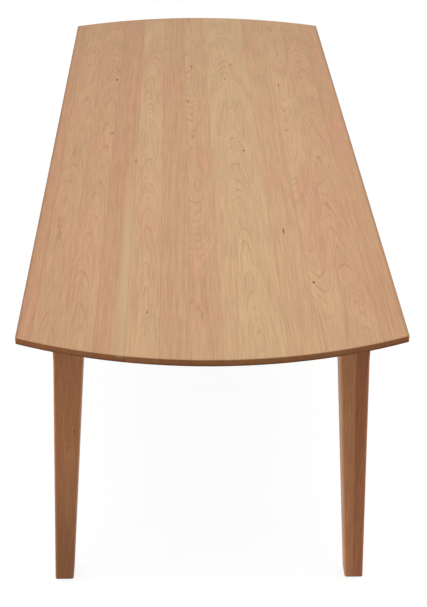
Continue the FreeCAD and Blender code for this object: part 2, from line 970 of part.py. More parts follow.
def stored_dowel_places():
    """Dowels of one wing, carried to where the folded wing lies."""
    return [2 * pivot_x + dowel_inner_x, 2 * pivot_x + dowel_outer_x]


def wing(middle_z):
    """One wing of the leaf: eased at the table's side edge, bored for hinges and dowels."""
    z_limits = about(middle_z, top_thickness)
    board = block((-leaf_half_x, leaf_half_x), (-leaf_end_y, leaf_end_y), z_limits)

    def on_outer_edge(point):
        return near(point.x, leaf_half_x) and not near(abs(point.y), leaf_end_y)

    board = ease(board, top_edge_round, on_outer_edge)
    holes = []
    for y in hinge_places():
        base = Vector(-leaf_half_x - overrun, y, middle_z)
        holes.append(rod(barrel_diameter / 2 + seat_fit, base, X_AXIS, barrel_length + overrun))
    for x in stored_dowel_places():
        holes.append(dowel_seat(Vector(x, -leaf_end_y, middle_z), -Y_AXIS))
        holes.append(dowel_socket(Vector(x, leaf_end_y, middle_z), -Y_AXIS))
    return without(board, holes)


def leaf_dowels():
    """Dowels that stand out of the leaf's front edge."""
    start = dowel_depth - leaf_end_y
    return [dowel(Vector(x, start, z), -Y_AXIS) for z in barrel_heights() for x in stored_dowel_places()]


def hinge_pin_hole(y, z):
    """Hole for a hinge pin, right across its barrel."""
    base = Vector(-leaf_half_x + hinge_pin_setback, y - barrel_diameter / 2, z)
    return rod(hinge_pin_diameter / 2 + seat_fit, base, Y_AXIS, barrel_diameter)


def pin_half_length():
    """Half of a hinge pin, kept inside the round of its barrel."""
    radius = barrel_diameter / 2
    pin = hinge_pin_diameter / 2
    return math.sqrt(radius * radius - pin * pin)


def hinge_pins():
    """Cross pins of all the barrels."""
    pins = []
    for y in hinge_places():
        for z in barrel_heights():
            base = Vector(-leaf_half_x + hinge_pin_setback, y - pin_half_length(), z)
            pins.append(rod(hinge_pin_diameter / 2, base, Y_AXIS, 2 * pin_half_length()))
    return pins


def barrel(y, z):
    """Round hinge barrel in a wing's edge, slotted for the link."""
    base = Vector(-leaf_half_x, y, z)
    body = rod(barrel_diameter / 2, base, X_AXIS, barrel_length)
    slot = block(
        (-leaf_half_x - overrun, -leaf_half_x + barrel_slot_depth),
        about(y, link_thickness + 2 * link_fit),
        about(z, barrel_diameter + overrun),
    )
    return without(body, [slot, hinge_pin_hole(y, z)])


def hinge_link(y):
    """Bowed link from the upper wing's barrel round to the lower wing's."""
    upper, lower = barrel_heights()
    middle = (upper + lower) / 2
    half = hinge_drop / 2
    edge_x = -leaf_half_x
    inner_x = edge_x + link_reach
    low_y = y - link_thickness / 2

    def at(x, drop):
        return Vector(x, low_y, middle + drop)

    outer = half + link_width / 2
    inner = half - link_width / 2
    edges = [
        Part.LineSegment(at(inner_x, outer), at(edge_x, outer)).toShape(),
        Part.Arc(at(edge_x, outer), at(edge_x - outer, 0), at(edge_x, -outer)).toShape(),
        Part.LineSegment(at(edge_x, -outer), at(inner_x, -outer)).toShape(),
        Part.LineSegment(at(inner_x, -outer), at(inner_x, -inner)).toShape(),
        Part.LineSegment(at(inner_x, -inner), at(edge_x, -inner)).toShape(),
        Part.Arc(at(edge_x, -inner), at(edge_x - inner, 0), at(edge_x, inner)).toShape(),
        Part.LineSegment(at(edge_x, inner), at(inner_x, inner)).toShape(),
        Part.LineSegment(at(inner_x, inner), at(inner_x, outer)).toShape(),
    ]
    link = Part.Face(Part.Wire(edges)).extrude(Y_AXIS * link_thickness)
    return without(link, [hinge_pin_hole(y, z) for z in (upper, lower)])


def pivot_pin():
    """Back pivot pin, from the cleat into the bush."""
    start = leaf_end_y - pivot_pin_depth
    length = mid_cross_rail_y + cross_rail_thickness - start
    return rod(pivot_pin_diameter / 2, Vector(pivot_x, start, pivot_z), Y_AXIS, length)


def pivot_cleat():
    """Back cleat on the upper wing, which holds a pivot pin."""
    low_y = leaf_end_y - cleat_length
    foot = cleat_foot_width / 2
    crown = cleat_crown_width / 2
    outline = [
        Vector(pivot_x - foot, low_y, wing_upper_top),
        Vector(pivot_x + foot, low_y, wing_upper_top),
        Vector(pivot_x + crown, low_y, pivot_z + cleat_cover),
        Vector(pivot_x - crown, low_y, pivot_z + cleat_cover),
    ]
    body = prism(outline, Y_AXIS * cleat_length)
    base = Vector(pivot_x, leaf_end_y - pivot_pin_depth, pivot_z)
    return body.cut(rod(pivot_pin_diameter / 2 + seat_fit, base, Y_AXIS, pivot_pin_depth + overrun))


# Seam locks under the side overhang: base and lever on the back half, catch on the front half

def lock_plate():
    """Right-hand base plate of a lock."""
    y_limits = (lock_plate_inset, lock_plate_inset + lock_plate_length)
    return block(about(lock_x, lock_plate_width), y_limits, (top_under - lock_plate_thickness, top_under))


def lock_stud():
    """Right-hand stud, headed below the lever that turns on it."""
    radius = lock_stud_diameter / 2
    head = lock_stud_head_diameter / 2
    length = lever_thickness + 2 * lever_slot_fit
    head_end = length + lock_stud_head_height
    base = Vector(lock_x, lock_stud_y, top_under - lock_plate_thickness)
    profile = [(0, 0), (radius, 0), (radius, length), (head, length), (head, head_end), (0, head_end)]
    return turned(profile, base, -Z_AXIS)


def lock_catch():
    """Right-hand catch: a plate on the front half with a pin for the hook."""
    plate = mirror_y(lock_plate())
    base = Vector(lock_x, -lock_stud_y, top_under - lock_plate_thickness)
    length = lever_thickness + lever_slot_fit + lock_pin_tail
    return plate.fuse(rod(lock_pin_diameter / 2, base, -Z_AXIS, length)).removeSplitter()


def lock_lever():
    """Right-hand hooked lever, open: it points inwards, a quarter turn short of the catch."""
    z_limits = (lever_low, lever_top)
    centre = Vector(lock_x, lock_stud_y, lever_low)
    arm_end = lock_x - lever_reach
    arm = block((arm_end, lock_x), about(lock_stud_y, lever_arm_width), z_limits)
    hook = block((arm_end, arm_end + lever_hook_length), about(lock_stud_y, lever_hook_width), z_limits)
    tab = block((lock_x, lock_x + lever_tab_length), about(lock_stud_y, lever_arm_width), z_limits)
    tab_end = rod(lever_arm_width / 2, centre + X_AXIS * lever_tab_length, Z_AXIS, lever_thickness)
    boss = rod(lever_boss_radius, centre, Z_AXIS, lever_thickness)
    lever = arm.multiFuse([hook, tab, tab_end, boss]).removeSplitter()
    low = centre - Z_AXIS * overrun
    height = lever_thickness + 2 * overrun
    slot_half = lock_pin_diameter / 2 + lever_slot_fit
    ring = tube(lock_pitch + slot_half, lock_pitch - slot_half, low, Z_AXIS, height)
    mouth = block(
        (arm_end - overrun, lock_x),
        (lock_stud_y, lock_stud_y - lever_hook_width),
        (low.z, low.z + height),
    )
    slot_end = rod(slot_half, low - X_AXIS * lock_pitch, Z_AXIS, height)
    stud_hole = rod(lock_stud_diameter / 2 + turning_fit, low, Z_AXIS, height)
    return without(lever, [ring.common(mouth), slot_end, stud_hole])


def save_frame():
    """Legs, aprons, rails, leaf store and their fasteners."""
    for end_name, end in ENDS:
        for side_name, side in SIDES:
            save("leg_" + end_name + "_" + side_name, [on_side(at_end(leg(), end), side)])
        save("apron_" + end_name, [at_end(end_apron(), end)])
        save("cross_rail_mid_" + end_name, [cross_rail(end, "mid")])
        save("cross_rail_" + end_name, [cross_rail(end, "outer")])
        save("pivot_post_" + end_name, [at_end(pivot_post(), end)])
    for side_name, side in SIDES:
        save("apron_" + side_name, [on_side(side_apron(), side)])
        save("slide_rail_" + side_name, [on_side(slide_rail(), side)])
    save("corner_blocks", at_all_corners(corner_block()))
    block_screws = [at_all_corners(piece) for piece in corner_block_screws()]
    save("corner_block_screws", block_screws[0] + block_screws[1])
    save("hanger_bolts", at_all_corners(hanger_bolt()))
    save("bolt_washers", at_all_corners(bolt_washer()))
    save("bolt_nuts", at_all_corners(bolt_nut()))
    save("foot_glides", at_all_corners(glide()))
    save("slide_rail_screws", rail_screws())
    save("gear_axles", [on_side(gear_axle(), side) for _, side in SIDES])
    save("thrust_washers", [on_side(thrust_washer(), side) for _, side in SIDES])
    save("pivot_bushes", [at_end(pivot_bush(), end) for _, end in ENDS])
    save("leaf_rest_bar", [rest_bar()])
    save("rest_pads", rest_pads())


def save_halves():
    """Both halves of the top with their runners, racks, battens and lock pieces."""
    for end_name, end in ENDS:
        save("top_" + end_name, [half_top(end)])
        save("batten_" + end_name, [batten(end)])
        save("batten_screws_" + end_name, batten_screws(end))
        save("runner_screws_" + end_name, runner_screws(end))
        for side_name, side in SIDES:
            save("runner_" + end_name + "_" + side_name, [slide_piece(runner(), end, side)])
            save("rack_" + end_name + "_" + side_name, [slide_piece(rack(), end, side)])
    save("top_dowels", top_dowels())
    save("lock_catches", [on_side(lock_catch(), side) for _, side in SIDES])
    lock_base = (lock_plate(), lock_stud())
    save("lock_plates", [on_side(piece, side) for _, side in SIDES for piece in lock_base])


def save_movers():
    """Pinions, lock levers and the folded leaf."""
    for side_name, side in SIDES:
        save("gear_" + side_name, [on_side(pinion(), side)])
        save("lock_lever_" + side_name, [on_side(lock_lever(), side)])
    for wing_name, height in zip(("upper", "lower"), barrel_heights()):
        save("leaf_wing_" + wing_name, [wing(height)])
    save("leaf_dowels", leaf_dowels())
    save("hinge_barrels", [barrel(y, z) for y in hinge_places() for z in barrel_heights()])
    save("hinge_links", [hinge_link(y) for y in hinge_places()])
    save("hinge_pins", hinge_pins())
    save("pivot_pins", [at_end(pivot_pin(), end) for _, end in ENDS])
    save("pivot_cleats", [at_end(pivot_cleat(), end) for _, end in ENDS])


os.makedirs("parts", exist_ok=True)
save_frame()
save_halves()
save_movers()
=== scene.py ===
import logging
import math
from contextlib import contextmanager
from dataclasses import dataclass
from enum import Enum
from typing import Iterable, Iterator, Mapping, Optional, Sequence, Tuple, Union

import bpy
from mathutils import Color, Euler, Matrix, Vector


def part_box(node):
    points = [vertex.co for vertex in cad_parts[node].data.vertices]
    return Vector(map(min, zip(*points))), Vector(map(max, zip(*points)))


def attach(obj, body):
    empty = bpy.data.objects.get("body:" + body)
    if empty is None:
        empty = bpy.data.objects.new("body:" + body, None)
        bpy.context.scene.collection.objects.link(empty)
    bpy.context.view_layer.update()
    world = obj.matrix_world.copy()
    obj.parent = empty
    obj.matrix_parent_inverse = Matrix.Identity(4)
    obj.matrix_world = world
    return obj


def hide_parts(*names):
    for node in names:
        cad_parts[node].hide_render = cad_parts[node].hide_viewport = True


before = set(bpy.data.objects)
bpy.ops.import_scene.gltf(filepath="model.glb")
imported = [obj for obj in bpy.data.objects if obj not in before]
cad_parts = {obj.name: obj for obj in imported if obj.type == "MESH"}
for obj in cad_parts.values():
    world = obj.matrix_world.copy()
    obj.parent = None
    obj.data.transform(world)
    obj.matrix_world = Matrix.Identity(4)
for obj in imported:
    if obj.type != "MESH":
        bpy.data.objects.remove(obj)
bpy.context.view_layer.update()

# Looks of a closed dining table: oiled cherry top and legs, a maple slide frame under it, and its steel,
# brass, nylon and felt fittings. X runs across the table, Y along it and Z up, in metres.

LOG = logging.getLogger("table")

Material = bpy.types.Material
Piece = bpy.types.Object
Socket = bpy.types.NodeSocket
Feed = Union[float, Sequence[float], Socket]
Colour = Tuple[float, float, float, float]
Point = Tuple[float, float, float]
Pair = Tuple[float, float]
Names = Tuple[str, ...]

UPWARDS: Point = (0.0, 0.0, 1.0)
CORNERS: Tuple[Pair, ...] = tuple((side, end) for side in (-1.0, 1.0) for end in (-1.0, 1.0))


def seen(red: float, green: float, blue: float) -> Colour:
    """Turns a colour as a screen shows it, from 0 to 255, into the linear colour that a shader takes."""
    linear = Color((red / 255, green / 255, blue / 255)).from_srgb_to_scene_linear()
    return linear.r, linear.g, linear.b, 1.0


def blended(first: Colour, second: Colour, share: float, shade: float = 1.0) -> Colour:
    """Mixes two colours by a share of the second, and shades the result."""
    red, green, blue = [(a + (b - a) * share) * shade for a, b in zip(first[:3], second[:3])]
    return red, green, blue, 1.0


class Grain(Enum):
    """Direction of a piece's grain, as the axes that run across it, through it and along it."""

    ALONG_X = ("Y", "Z", "X")
    ALONG_Y = ("X", "Z", "Y")
    ALONG_Z = ("X", "Y", "Z")


class Wiring:
    """Node tree, with short calls that lay nodes on it."""

    def __init__(self, tree: bpy.types.NodeTree) -> None:
        """Takes up a node tree."""
        self.tree = tree

    def feed(self, socket: Socket, value: Feed) -> None:
        """Links a socket to another, or sets its value.

        Args:
            socket: The socket.
            value: What it is linked to or set to.
        """
        if isinstance(value, Socket):
            self.tree.links.new(value, socket)
        else:
            socket.default_value = value

    def lay(self, kind: str, feeds: Mapping[Union[str, int], Feed], **settings: object) -> bpy.types.Node:
        """Adds a node.

        Args:
            kind: Blender's name of the node type.
            feeds: Values or links of its inputs, by name or index.
            settings: Properties of the node.

        Returns:
            The new node.
        """
        node = self.tree.nodes.new(kind)
        for name, value in settings.items():
            setattr(node, name, value)
        for key, value in feeds.items():
            self.feed(node.inputs[key], value)
        return node

    def calc(self, operation: str, *terms: Feed) -> Socket:
        """Adds a Math node and returns its result."""
        return self.lay("ShaderNodeMath", dict(enumerate(terms)), operation=operation).outputs[0]

    def blend(self, share: Feed, first: Socket, second: Socket) -> Socket:
        """Adds a mix of two shaders and returns it."""
        return self.lay("ShaderNodeMixShader", {0: share, 1: first, 2: second}).outputs[0]


class Bench(Wiring):
    """Node tree of one material, with its shader and object coordinates."""

    def __init__(self, name: str) -> None:
        """Starts the material.

        Args:
            name: Name of the material.
        """
        self.material = bpy.data.materials.new(name)
        self.material.use_nodes = True
        super().__init__(self.material.node_tree)
        self.shader = self.tree.nodes["Principled BSDF"]
        self.coordinates = self.lay("ShaderNodeTexCoord", {})
        self.place = self.coordinates.outputs["Object"]

    def coat(self, feeds: Mapping[str, Feed]) -> None:
        """Feeds the shader's inputs, by name."""
        for name, value in feeds.items():
            self.feed(self.shader.inputs[name], value)

    def vector(self, operation: str, *terms: Feed) -> Socket:
        """Adds a Vector Math node and returns its vector, or its length."""
        node = self.lay("ShaderNodeVectorMath", dict(enumerate(terms)), operation=operation)
        return node.outputs["Value" if operation == "LENGTH" else "Vector"]

    def span(self, value: Feed, low: float, high: float, to_low: float = 0.0, to_high: float = 1.0) -> Socket:
        """Maps a range of a value smoothly to another range, and holds it at the ends.

        Args:
            value: What is mapped.
            low: Value that becomes to_low.
            high: Value that becomes to_high.
            to_low: Result at low.
            to_high: Result at high.

        Returns:
            The mapped value.
        """
        feeds = {0: value, 1: low, 2: high, 3: to_low, 4: to_high}
        return self.lay("ShaderNodeMapRange", feeds, interpolation_type="SMOOTHSTEP").outputs[0]

    def noise(self, scale: Sequence[float], layers: float, seed: Feed = 0.0) -> Socket:
        """Adds noise on the object's coordinates.

        Args:
            scale: Noise cells to the metre along X, Y and Z.
            layers: Number of finer layers.
            seed: Picks another stretch of noise.

        Returns:
            Noise from 0 to 1, about 0.5 on average.
        """
        place = self.vector("MULTIPLY", self.place, scale)
        feeds = {"Vector": place, "W": seed, "Scale": 1.0, "Detail": layers}
        return self.lay("ShaderNodeTexNoise", feeds, noise_dimensions="4D").outputs[0]

    def line_noise(self, along: Feed, scale: float, layers: float) -> Socket:
        """Adds noise along a line, with its cells to the metre and its finer layers."""
        feeds = {"W": along, "Scale": scale, "Detail": layers}
        return self.lay("ShaderNodeTexNoise", feeds, noise_dimensions="1D").outputs[0]

    def wander(self, along: Feed, rate: float, reach: float, seed: Feed) -> Socket:
        """Slow wandering about zero.

        Args:
            along: Distance along the wandering line.
            rate: Swings to the metre.
            reach: Whole width of the wandering.
            seed: Picks another stretch of wandering.

        Returns:
            The distance from the line.
        """
        swing = self.line_noise(self.calc("MULTIPLY_ADD", along, rate, seed), 1.0, 1.0)
        return self.calc("MULTIPLY_ADD", swing, reach, -reach / 2)

    def mix(self, share: Feed, first: Feed, second: Feed, blend: str = "MIX") -> Socket:
        """Adds a colour mix and returns its colour."""
        feeds = {0: share, 6: first, 7: second}
        return self.lay("ShaderNodeMix", feeds, data_type="RGBA", blend_type=blend).outputs[2]

    def shaded(self, colour: Feed, factor: Feed) -> Socket:
        """Multiplies a colour by a number."""
        first = colour if isinstance(colour, Socket) else colour[:3]
        return self.lay("ShaderNodeVectorMath", {0: first, 3: factor}, operation="SCALE").outputs["Vector"]

    def changed(self, colour: Feed, share: Feed, change: float) -> Socket:
        """Brightens a colour by a change where a share is 1, or darkens it by a change below 0."""
        return self.shaded(colour, self.calc("MULTIPLY_ADD", share, change, 1.0))

    def steps(self, share: Feed, edges: Sequence[float], colours: Sequence[Colour]) -> Tuple[Socket, Socket]:
        """Adds a ramp of flat bands.

        Args:
            share: Place from 0 to 1.
            edges: Where each band starts.
            colours: Colour of each band.

        Returns:
            The band's colour and its alpha.
        """
        node = self.lay("ShaderNodeValToRGB", {0: share})
        node.color_ramp.interpolation = "CONSTANT"
        stops = node.color_ramp.elements
        while len(stops) < len(edges):
            stops.new(1.0)
        for stop, edge, colour in zip(stops, edges, colours):
            stop.position = edge
            stop.color = colour
        return node.outputs[0], node.outputs[1]

    def parts(self, vector: Feed) -> Tuple[Socket, Socket, Socket]:
        """Splits a vector into its X, Y and Z."""
        node = self.lay("ShaderNodeSeparateXYZ", {0: vector})
        return node.outputs[0], node.outputs[1], node.outputs[2]

    def bump(self, height: Feed, depth: float, strength: float) -> None:
        """Gives the surface a relief of a depth in metres."""
        node = self.lay("ShaderNodeBump", {"Height": height, "Distance": depth, "Strength": strength})
        self.coat({"Normal": node.outputs[0]})


@dataclass(frozen=True)
class WoodFinish:
    """Colours, growth rings and gloss of one kind of wood.

    A noise has its cells to the metre across and along the grain, and its layers. A span is where the share
    of something goes from none to all.
    """

    honey: Colour
    rose: Colour
    late: Colour
    end: Colour
    blush: Colour
    rosiness: float = 0.4
    ring_width: float = 0.0038
    ring_contrast: float = 0.62
    late_sharpness: float = 6.0
    late_span: Pair = (0.40, 0.64)
    late_least: float = 0.1
    late_noise: Point = (34.0, 11.0, 4.0)
    year_drift: float = 0.0035
    year_drift_rate: float = 75.0
    year_shade: float = 0.03
    year_span: Pair = (0.3, 0.7)
    year_noise: Pair = (0.35, 2.0)
    heart_sway: float = 0.03
    heart_sway_rate: float = 1.3
    heart_sway_seed: float = 31.7
    heart_wander: float = 0.05
    heart_wander_rate: float = 1.0
    swell: float = 0.012
    swell_noise: Point = (11.0, 2.6, 1.0)
    ripple: float = 0.0032
    ripple_noise: Point = (60.0, 24.0, 4.0)
    streak_share: float = 0.25
    streak_noise: Point = (26.0, 0.9, 3.0)
    rosy_span: Pair = (0.45, 0.72)
    honey_span: Pair = (0.50, 0.30)
    blush_share: float = 0.45
    blush_noise: Point = (11.0, 2.6, 3.0)
    blush_span: Pair = (0.50, 0.72)
    fibre_shade: float = 0.05
    fibre_noise: Point = (440.0, 11.0, 3.0)
    fibre_span: Pair = (0.25, 0.75)
    curl_shade: float = 0.008
    curl_noise: Point = (12.0, 42.0, 2.0)
    curl_span: Pair = (0.3, 0.7)
    pore_shade: float = 0.10
    pore_noise: Point = (1500.0, 60.0, 1.0)
    pore_span: Pair = (0.60, 0.72)
    end_span: Pair = (0.72, 0.90)
    # Painted highlight on rounded edges: how much it brightens them, the squareness where it starts and how
    # far it spreads. Faces that look down get none.
    painted_edge_highlight: float = 0.16
    painted_highlight_from: float = 0.90
    painted_highlight_reach: float = 0.12
    under_span: Pair = (-0.6, -0.3)
    roughness: float = 0.42
    gloss_span: Pair = (0.2, 0.8)
    gloss_reach: Pair = (-0.05, 0.07)
    specular: float = 0.18
    late_relief: float = 0.4
    pore_relief: float = -0.3
    relief_depth: float = 0.0003
    relief_strength: float = 0.25


CHERRY_TOP = WoodFinish(
    honey=seen(206, 170, 130),
    rose=seen(199, 152, 117),
    late=(0.62, 0.50, 0.43, 1.0),
    end=(0.57, 0.39, 0.28, 1.0),
    blush=seen(203, 151, 122),
    ring_width=0.0033,
    ring_contrast=0.8,
    late_sharpness=9.0,
    ripple=0.0028,
    painted_edge_highlight=0.0,
    blush_share=0.55,
    fibre_shade=0.11,
    roughness=0.48,
    specular=0.08,
)
CHERRY_FRAME = WoodFinish(
    honey=seen(193, 136, 92),
    rose=seen(172, 108, 72),
    late=(0.70, 0.58, 0.50, 1.0),
    end=(0.62, 0.44, 0.33, 1.0),
    blush=seen(186, 120, 82),
    ring_width=0.0034,
    ring_contrast=0.85,
    heart_sway=0.05,
    heart_wander=0.03,
    swell=0.008,
    ripple=0.002,
    streak_share=0.5,
    fibre_shade=0.14,
    painted_edge_highlight=0.27,
    painted_highlight_from=0.985,
)
MAPLE = WoodFinish(
    honey=seen(222, 194, 152),
    rose=seen(210, 174, 130),
    late=(0.86, 0.79, 0.72, 1.0),
    end=(0.74, 0.66, 0.58, 1.0),
    blush=seen(214, 178, 138),
    ring_width=0.0032,
    ring_contrast=0.5,
    heart_sway=0.1,
    ripple=0.003,
    roughness=0.5,
    specular=0.25,
)


@dataclass(frozen=True)
class Mark:
    """A pip, gum fleck or pale streak in the wood, with half its size each way."""

    at: Point
    size: Point
    tint: Colour
    strength: float = 0.8
    swirl: float = 0.0
    core: float = 0.45


class WoodBench(Bench):
    """Material of a piece of wood, worked out from the rings of the tree."""

    def __init__(self, name: str, finish: WoodFinish, grain: Grain) -> None:
        """Starts the material with the axes across, through and along its grain.

        Args:
            name: Name of the material.
            finish: Kind of wood.
            grain: Direction of the grain.
        """
        super().__init__(name)
        self.finish = finish
        self.grain = grain
        self.normal = self.parts(self.coordinates.outputs["Normal"])
        axes = dict(zip("XYZ", self.parts(self.place)))
        self.across, self.through, self.along = [axes[axis] for axis in grain.value]

    def figure(self, noise: Point, seed: Feed) -> Socket:
        """Adds noise that is stretched along the grain.

        Args:
            noise: Cells to the metre across and along the grain, and layers.
            seed: Picks another stretch of noise.

        Returns:
            Noise from 0 to 1, about 0.5 on average.
        """
        across, along, layers = noise
        by_axis = dict(zip(self.grain.value, (across, across, along)))
        return self.noise([by_axis[axis] for axis in "XYZ"], layers, seed)

    def heart_distance(self, aside: Feed, below: Feed, seed: Feed) -> Socket:
        """Distance from the heart of the tree, as uneven as trees grow.

        Args:
            aside: Distance from the heart across the piece.
            below: Distance from the heart through the piece.
            seed: Picks the stretch of wandering.

        Returns:
            The distance in metres.
        """
        finish = self.finish
        wander = self.wander(self.along, finish.heart_wander_rate, finish.heart_wander, seed)
        sway_seed = self.calc("ADD", seed, finish.heart_sway_seed)
        sway = self.wander(self.along, finish.heart_sway_rate, finish.heart_sway, sway_seed)
        aside = self.calc("ADD", aside, wander)
        below = self.calc("ADD", below, sway)
        square = self.calc("MULTIPLY_ADD", aside, aside, self.calc("MULTIPLY", below, below))
        distance = self.calc("SQRT", square)
        for noise, reach in ((finish.swell_noise, finish.swell), (finish.ripple_noise, finish.ripple)):
            distance = self.calc("MULTIPLY_ADD", self.figure(noise, seed), reach, distance)
        drift = self.wander(distance, finish.year_drift_rate, finish.year_drift, seed)
        return self.calc("ADD", distance, drift)

    def finished(self, tone: Feed, distance: Feed, seed: Feed) -> Socket:
        """Colours the wood and sets its gloss and relief.

        Args:
            tone: Colour of the board before its figure.
            distance: Distance from the heart.
            seed: Picks the stretch of figure.

        Returns:
            The colour that reaches the shader, for marks to be laid on.
        """
        finish = self.finish
        turns = self.calc("DIVIDE", distance, finish.ring_width)
        late = self.calc("POWER", self.calc("FRACT", turns), finish.late_sharpness)
        late_strength = self.span(self.figure(finish.late_noise, seed), *finish.late_span, finish.late_least)
        late_share = self.calc("MULTIPLY", late, late_strength)
        years = self.line_noise(turns, *finish.year_noise)
        streak = self.figure(finish.streak_noise, seed)
        blush = self.figure(finish.blush_noise, seed)
        fibre = self.figure(finish.fibre_noise, seed)
        curl = self.figure(finish.curl_noise, seed)
        pores = self.span(self.figure(finish.pore_noise, seed), *finish.pore_span)
        colour = tone
        for noise, span, most, tint in (
            (streak, finish.rosy_span, finish.streak_share, finish.rose),
            (streak, finish.honey_span, finish.streak_share, finish.honey),
            (blush, finish.blush_span, finish.blush_share, finish.blush),
        ):
            colour = self.mix(self.span(noise, *span, 0.0, most), colour, tint)
        late_colour = self.mix(1.0, colour, finish.late, "MULTIPLY")
        colour = self.mix(self.calc("MULTIPLY", late_share, finish.ring_contrast), colour, late_colour)
        for noise, span, reach in (
            (years, finish.year_span, finish.year_shade),
            (fibre, finish.fibre_span, finish.fibre_shade),
            (curl, finish.curl_span, finish.curl_shade),
        ):
            colour = self.shaded(colour, self.span(noise, *span, 1 - reach, 1 + reach))
        colour = self.edged(self.changed(colour, pores, -finish.pore_shade))
        smooth, rough = (finish.roughness + part for part in finish.gloss_reach)
        gloss = self.span(fibre, *finish.gloss_span, smooth, rough)
        self.coat({"Roughness": gloss, "Specular IOR Level": finish.specular})
        relief = self.calc("MULTIPLY_ADD", late_share, finish.late_relief, fibre)
        relief = self.calc("MULTIPLY_ADD", pores, finish.pore_relief, relief)
        self.bump(relief, finish.relief_depth, finish.relief_strength)
        return colour

    def edged(self, colour: Socket) -> Socket:
        """Darkens end grain, and paints a highlight on the rounded edges that don't look down.

        Args:
            colour: Colour of the wood.

        Returns:
            The colour with its darker ends and its painted edge highlight.
        """
        finish = self.finish
        sides = [self.calc("ABSOLUTE", part) for part in self.normal]
        facing = dict(zip("XYZ", sides))[self.grain.value[2]]
        end_colour = self.mix(1.0, colour, finish.end, "MULTIPLY")
        colour = self.mix(self.span(facing, *finish.end_span), colour, end_colour)
        # Painted highlight: rounded edges, where the normal leaves the axes, are brightened unless they look
        # down.
        squareness = self.calc("MAXIMUM", self.calc("MAXIMUM", sides[0], sides[1]), sides[2])
        painted_highlight_share = self.span(squareness, finish.painted_highlight_from, finish.painted_highlight_from - finish.painted_highlight_reach)
        painted_highlight_share = self.calc("MULTIPLY", painted_highlight_share, self.span(self.normal[2], *finish.under_span))
        return self.changed(colour, painted_highlight_share, finish.painted_edge_highlight)

    def spot(self, mark: Mark) -> Socket:
        """Distance from a mark's middle, where 1 is its rim."""
        apart = self.vector("SUBTRACT", self.place, mark.at)
        return self.vector("LENGTH", self.vector("DIVIDE", apart, mark.size))

    def marked(self, colour: Socket, marks: Sequence[Mark]) -> Socket:
        """Lays marks on the wood.

        Args:
            colour: Colour of the wood.
            marks: The marks.

        Returns:
            The colour with the marks.
        """
        for mark in marks:
            share = self.span(self.spot(mark), 1.0, mark.core, 0.0, mark.strength)
            colour = self.mix(share, colour, mark.tint)
        return colour

    def paint(self, colour: Socket) -> Material:
        """Sends the last colour to the shader and returns the material."""
        self.coat({"Base Color": colour})
        return self.material


def solid_wood(name: str, finish: WoodFinish, grain: Grain, heart: Pair, seed: float) -> Material:
    """Makes the material of pieces cut from one stick.

    Args:
        name: Name of the material.
        finish: Kind of wood.
        grain: Direction of the grain.
        heart: Where the heart of the tree lies across and through the piece, in metres.
        seed: Picks the stretch of figure.

    Returns:
        The material.
    """
    bench = WoodBench(name, finish, grain)
    aside = bench.calc("SUBTRACT", bench.across, heart[0])
    below = bench.calc("SUBTRACT", bench.through, heart[1])
    distance = bench.heart_distance(aside, below, seed)
    tone = blended(finish.honey, finish.rose, finish.rosiness)
    return bench.paint(bench.finished(tone, distance, seed))


@dataclass(frozen=True)
class PlainFinish:
    """Colours and gloss of a metal, plastic or felt."""

    name: str
    colour: Colour
    dulled: Colour
    roughness: float
    metallic: float = 0.0
    cloud_scale: float = 60.0
    relief_depth: float = 0.00005
    sheen: float = 0.0
    cloud_layers: float = 3.0
    cloud_span: Pair = (0.35, 0.7)
    grit_ratio: float = 14.0
    grit_layers: float = 2.0
    gloss_span: Pair = (0.2, 0.8)
    gloss_reach: Pair = (-0.08, 0.1)
    relief_strength: float = 0.4

    def material(self) -> Material:
        """Makes the material, or finds it once it is made.

        Returns:
            The material.
        """
        made = bpy.data.materials.get(self.name)
        if made is not None:
            return made
        bench = Bench(self.name)
        cloud = bench.noise((self.cloud_scale,) * 3, self.cloud_layers)
        grit = bench.noise((self.cloud_scale * self.grit_ratio,) * 3, self.grit_layers)
        smooth, rough = (self.roughness + part for part in self.gloss_reach)
        bench.coat({
            "Base Color": bench.mix(bench.span(cloud, *self.cloud_span), self.colour, self.dulled),
            "Roughness": bench.span(grit, *self.gloss_span, smooth, rough),
            "Metallic": self.metallic,
            "Sheen Weight": self.sheen,
        })
        bench.bump(grit, self.relief_depth, self.relief_strength)
        return bench.material


ZINC_STEEL = PlainFinish("zinc_plate", seen(196, 198, 202), seen(168, 170, 172), 0.36, metallic=1.0)
BRASS = PlainFinish("satin_brass", seen(205, 172, 104), seen(176, 140, 78), 0.32, metallic=1.0)
NYLON = PlainFinish("white_nylon", seen(226, 223, 214), seen(212, 208, 198), 0.5, cloud_scale=120.0)
FELT = PlainFinish(
    "brown_felt", seen(88, 66, 48), seen(66, 48, 34), 0.9, cloud_scale=300.0, relief_depth=0.0004, sheen=0.4,
)


def dress(nodes: Iterable[str], material: Material) -> None:
    """Puts a material on CAD nodes.

    Args:
        nodes: Names of the nodes.
        material: What they wear.
    """
    for node in nodes:
        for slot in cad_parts[node].material_slots:
            slot.material = material
        LOG.info("%s wears %s", node, material.name)


def picked(*pieces: Piece) -> None:
    """Selects pieces and nothing else, and makes the last one active.

    Args:
        pieces: The pieces, or none to leave nothing selected.
    """
    bpy.ops.object.select_all(action="DESELECT")
    for piece in pieces:
        piece.select_set(True)
        bpy.context.view_layer.objects.active = piece


@contextmanager
def edited(piece: Piece) -> Iterator[None]:
    """Opens a piece's mesh with all of it selected, then turns its faces outward and closes it.

    Args:
        piece: The piece.

    Yields:
        Nothing, while the mesh is open.
    """
    picked(piece)
    bpy.ops.object.mode_set(mode="EDIT")
    bpy.ops.mesh.select_all(action="SELECT")
    yield
    bpy.ops.mesh.select_all(action="SELECT")
    bpy.ops.mesh.normals_make_consistent(inside=False)
    bpy.ops.object.mode_set(mode="OBJECT")


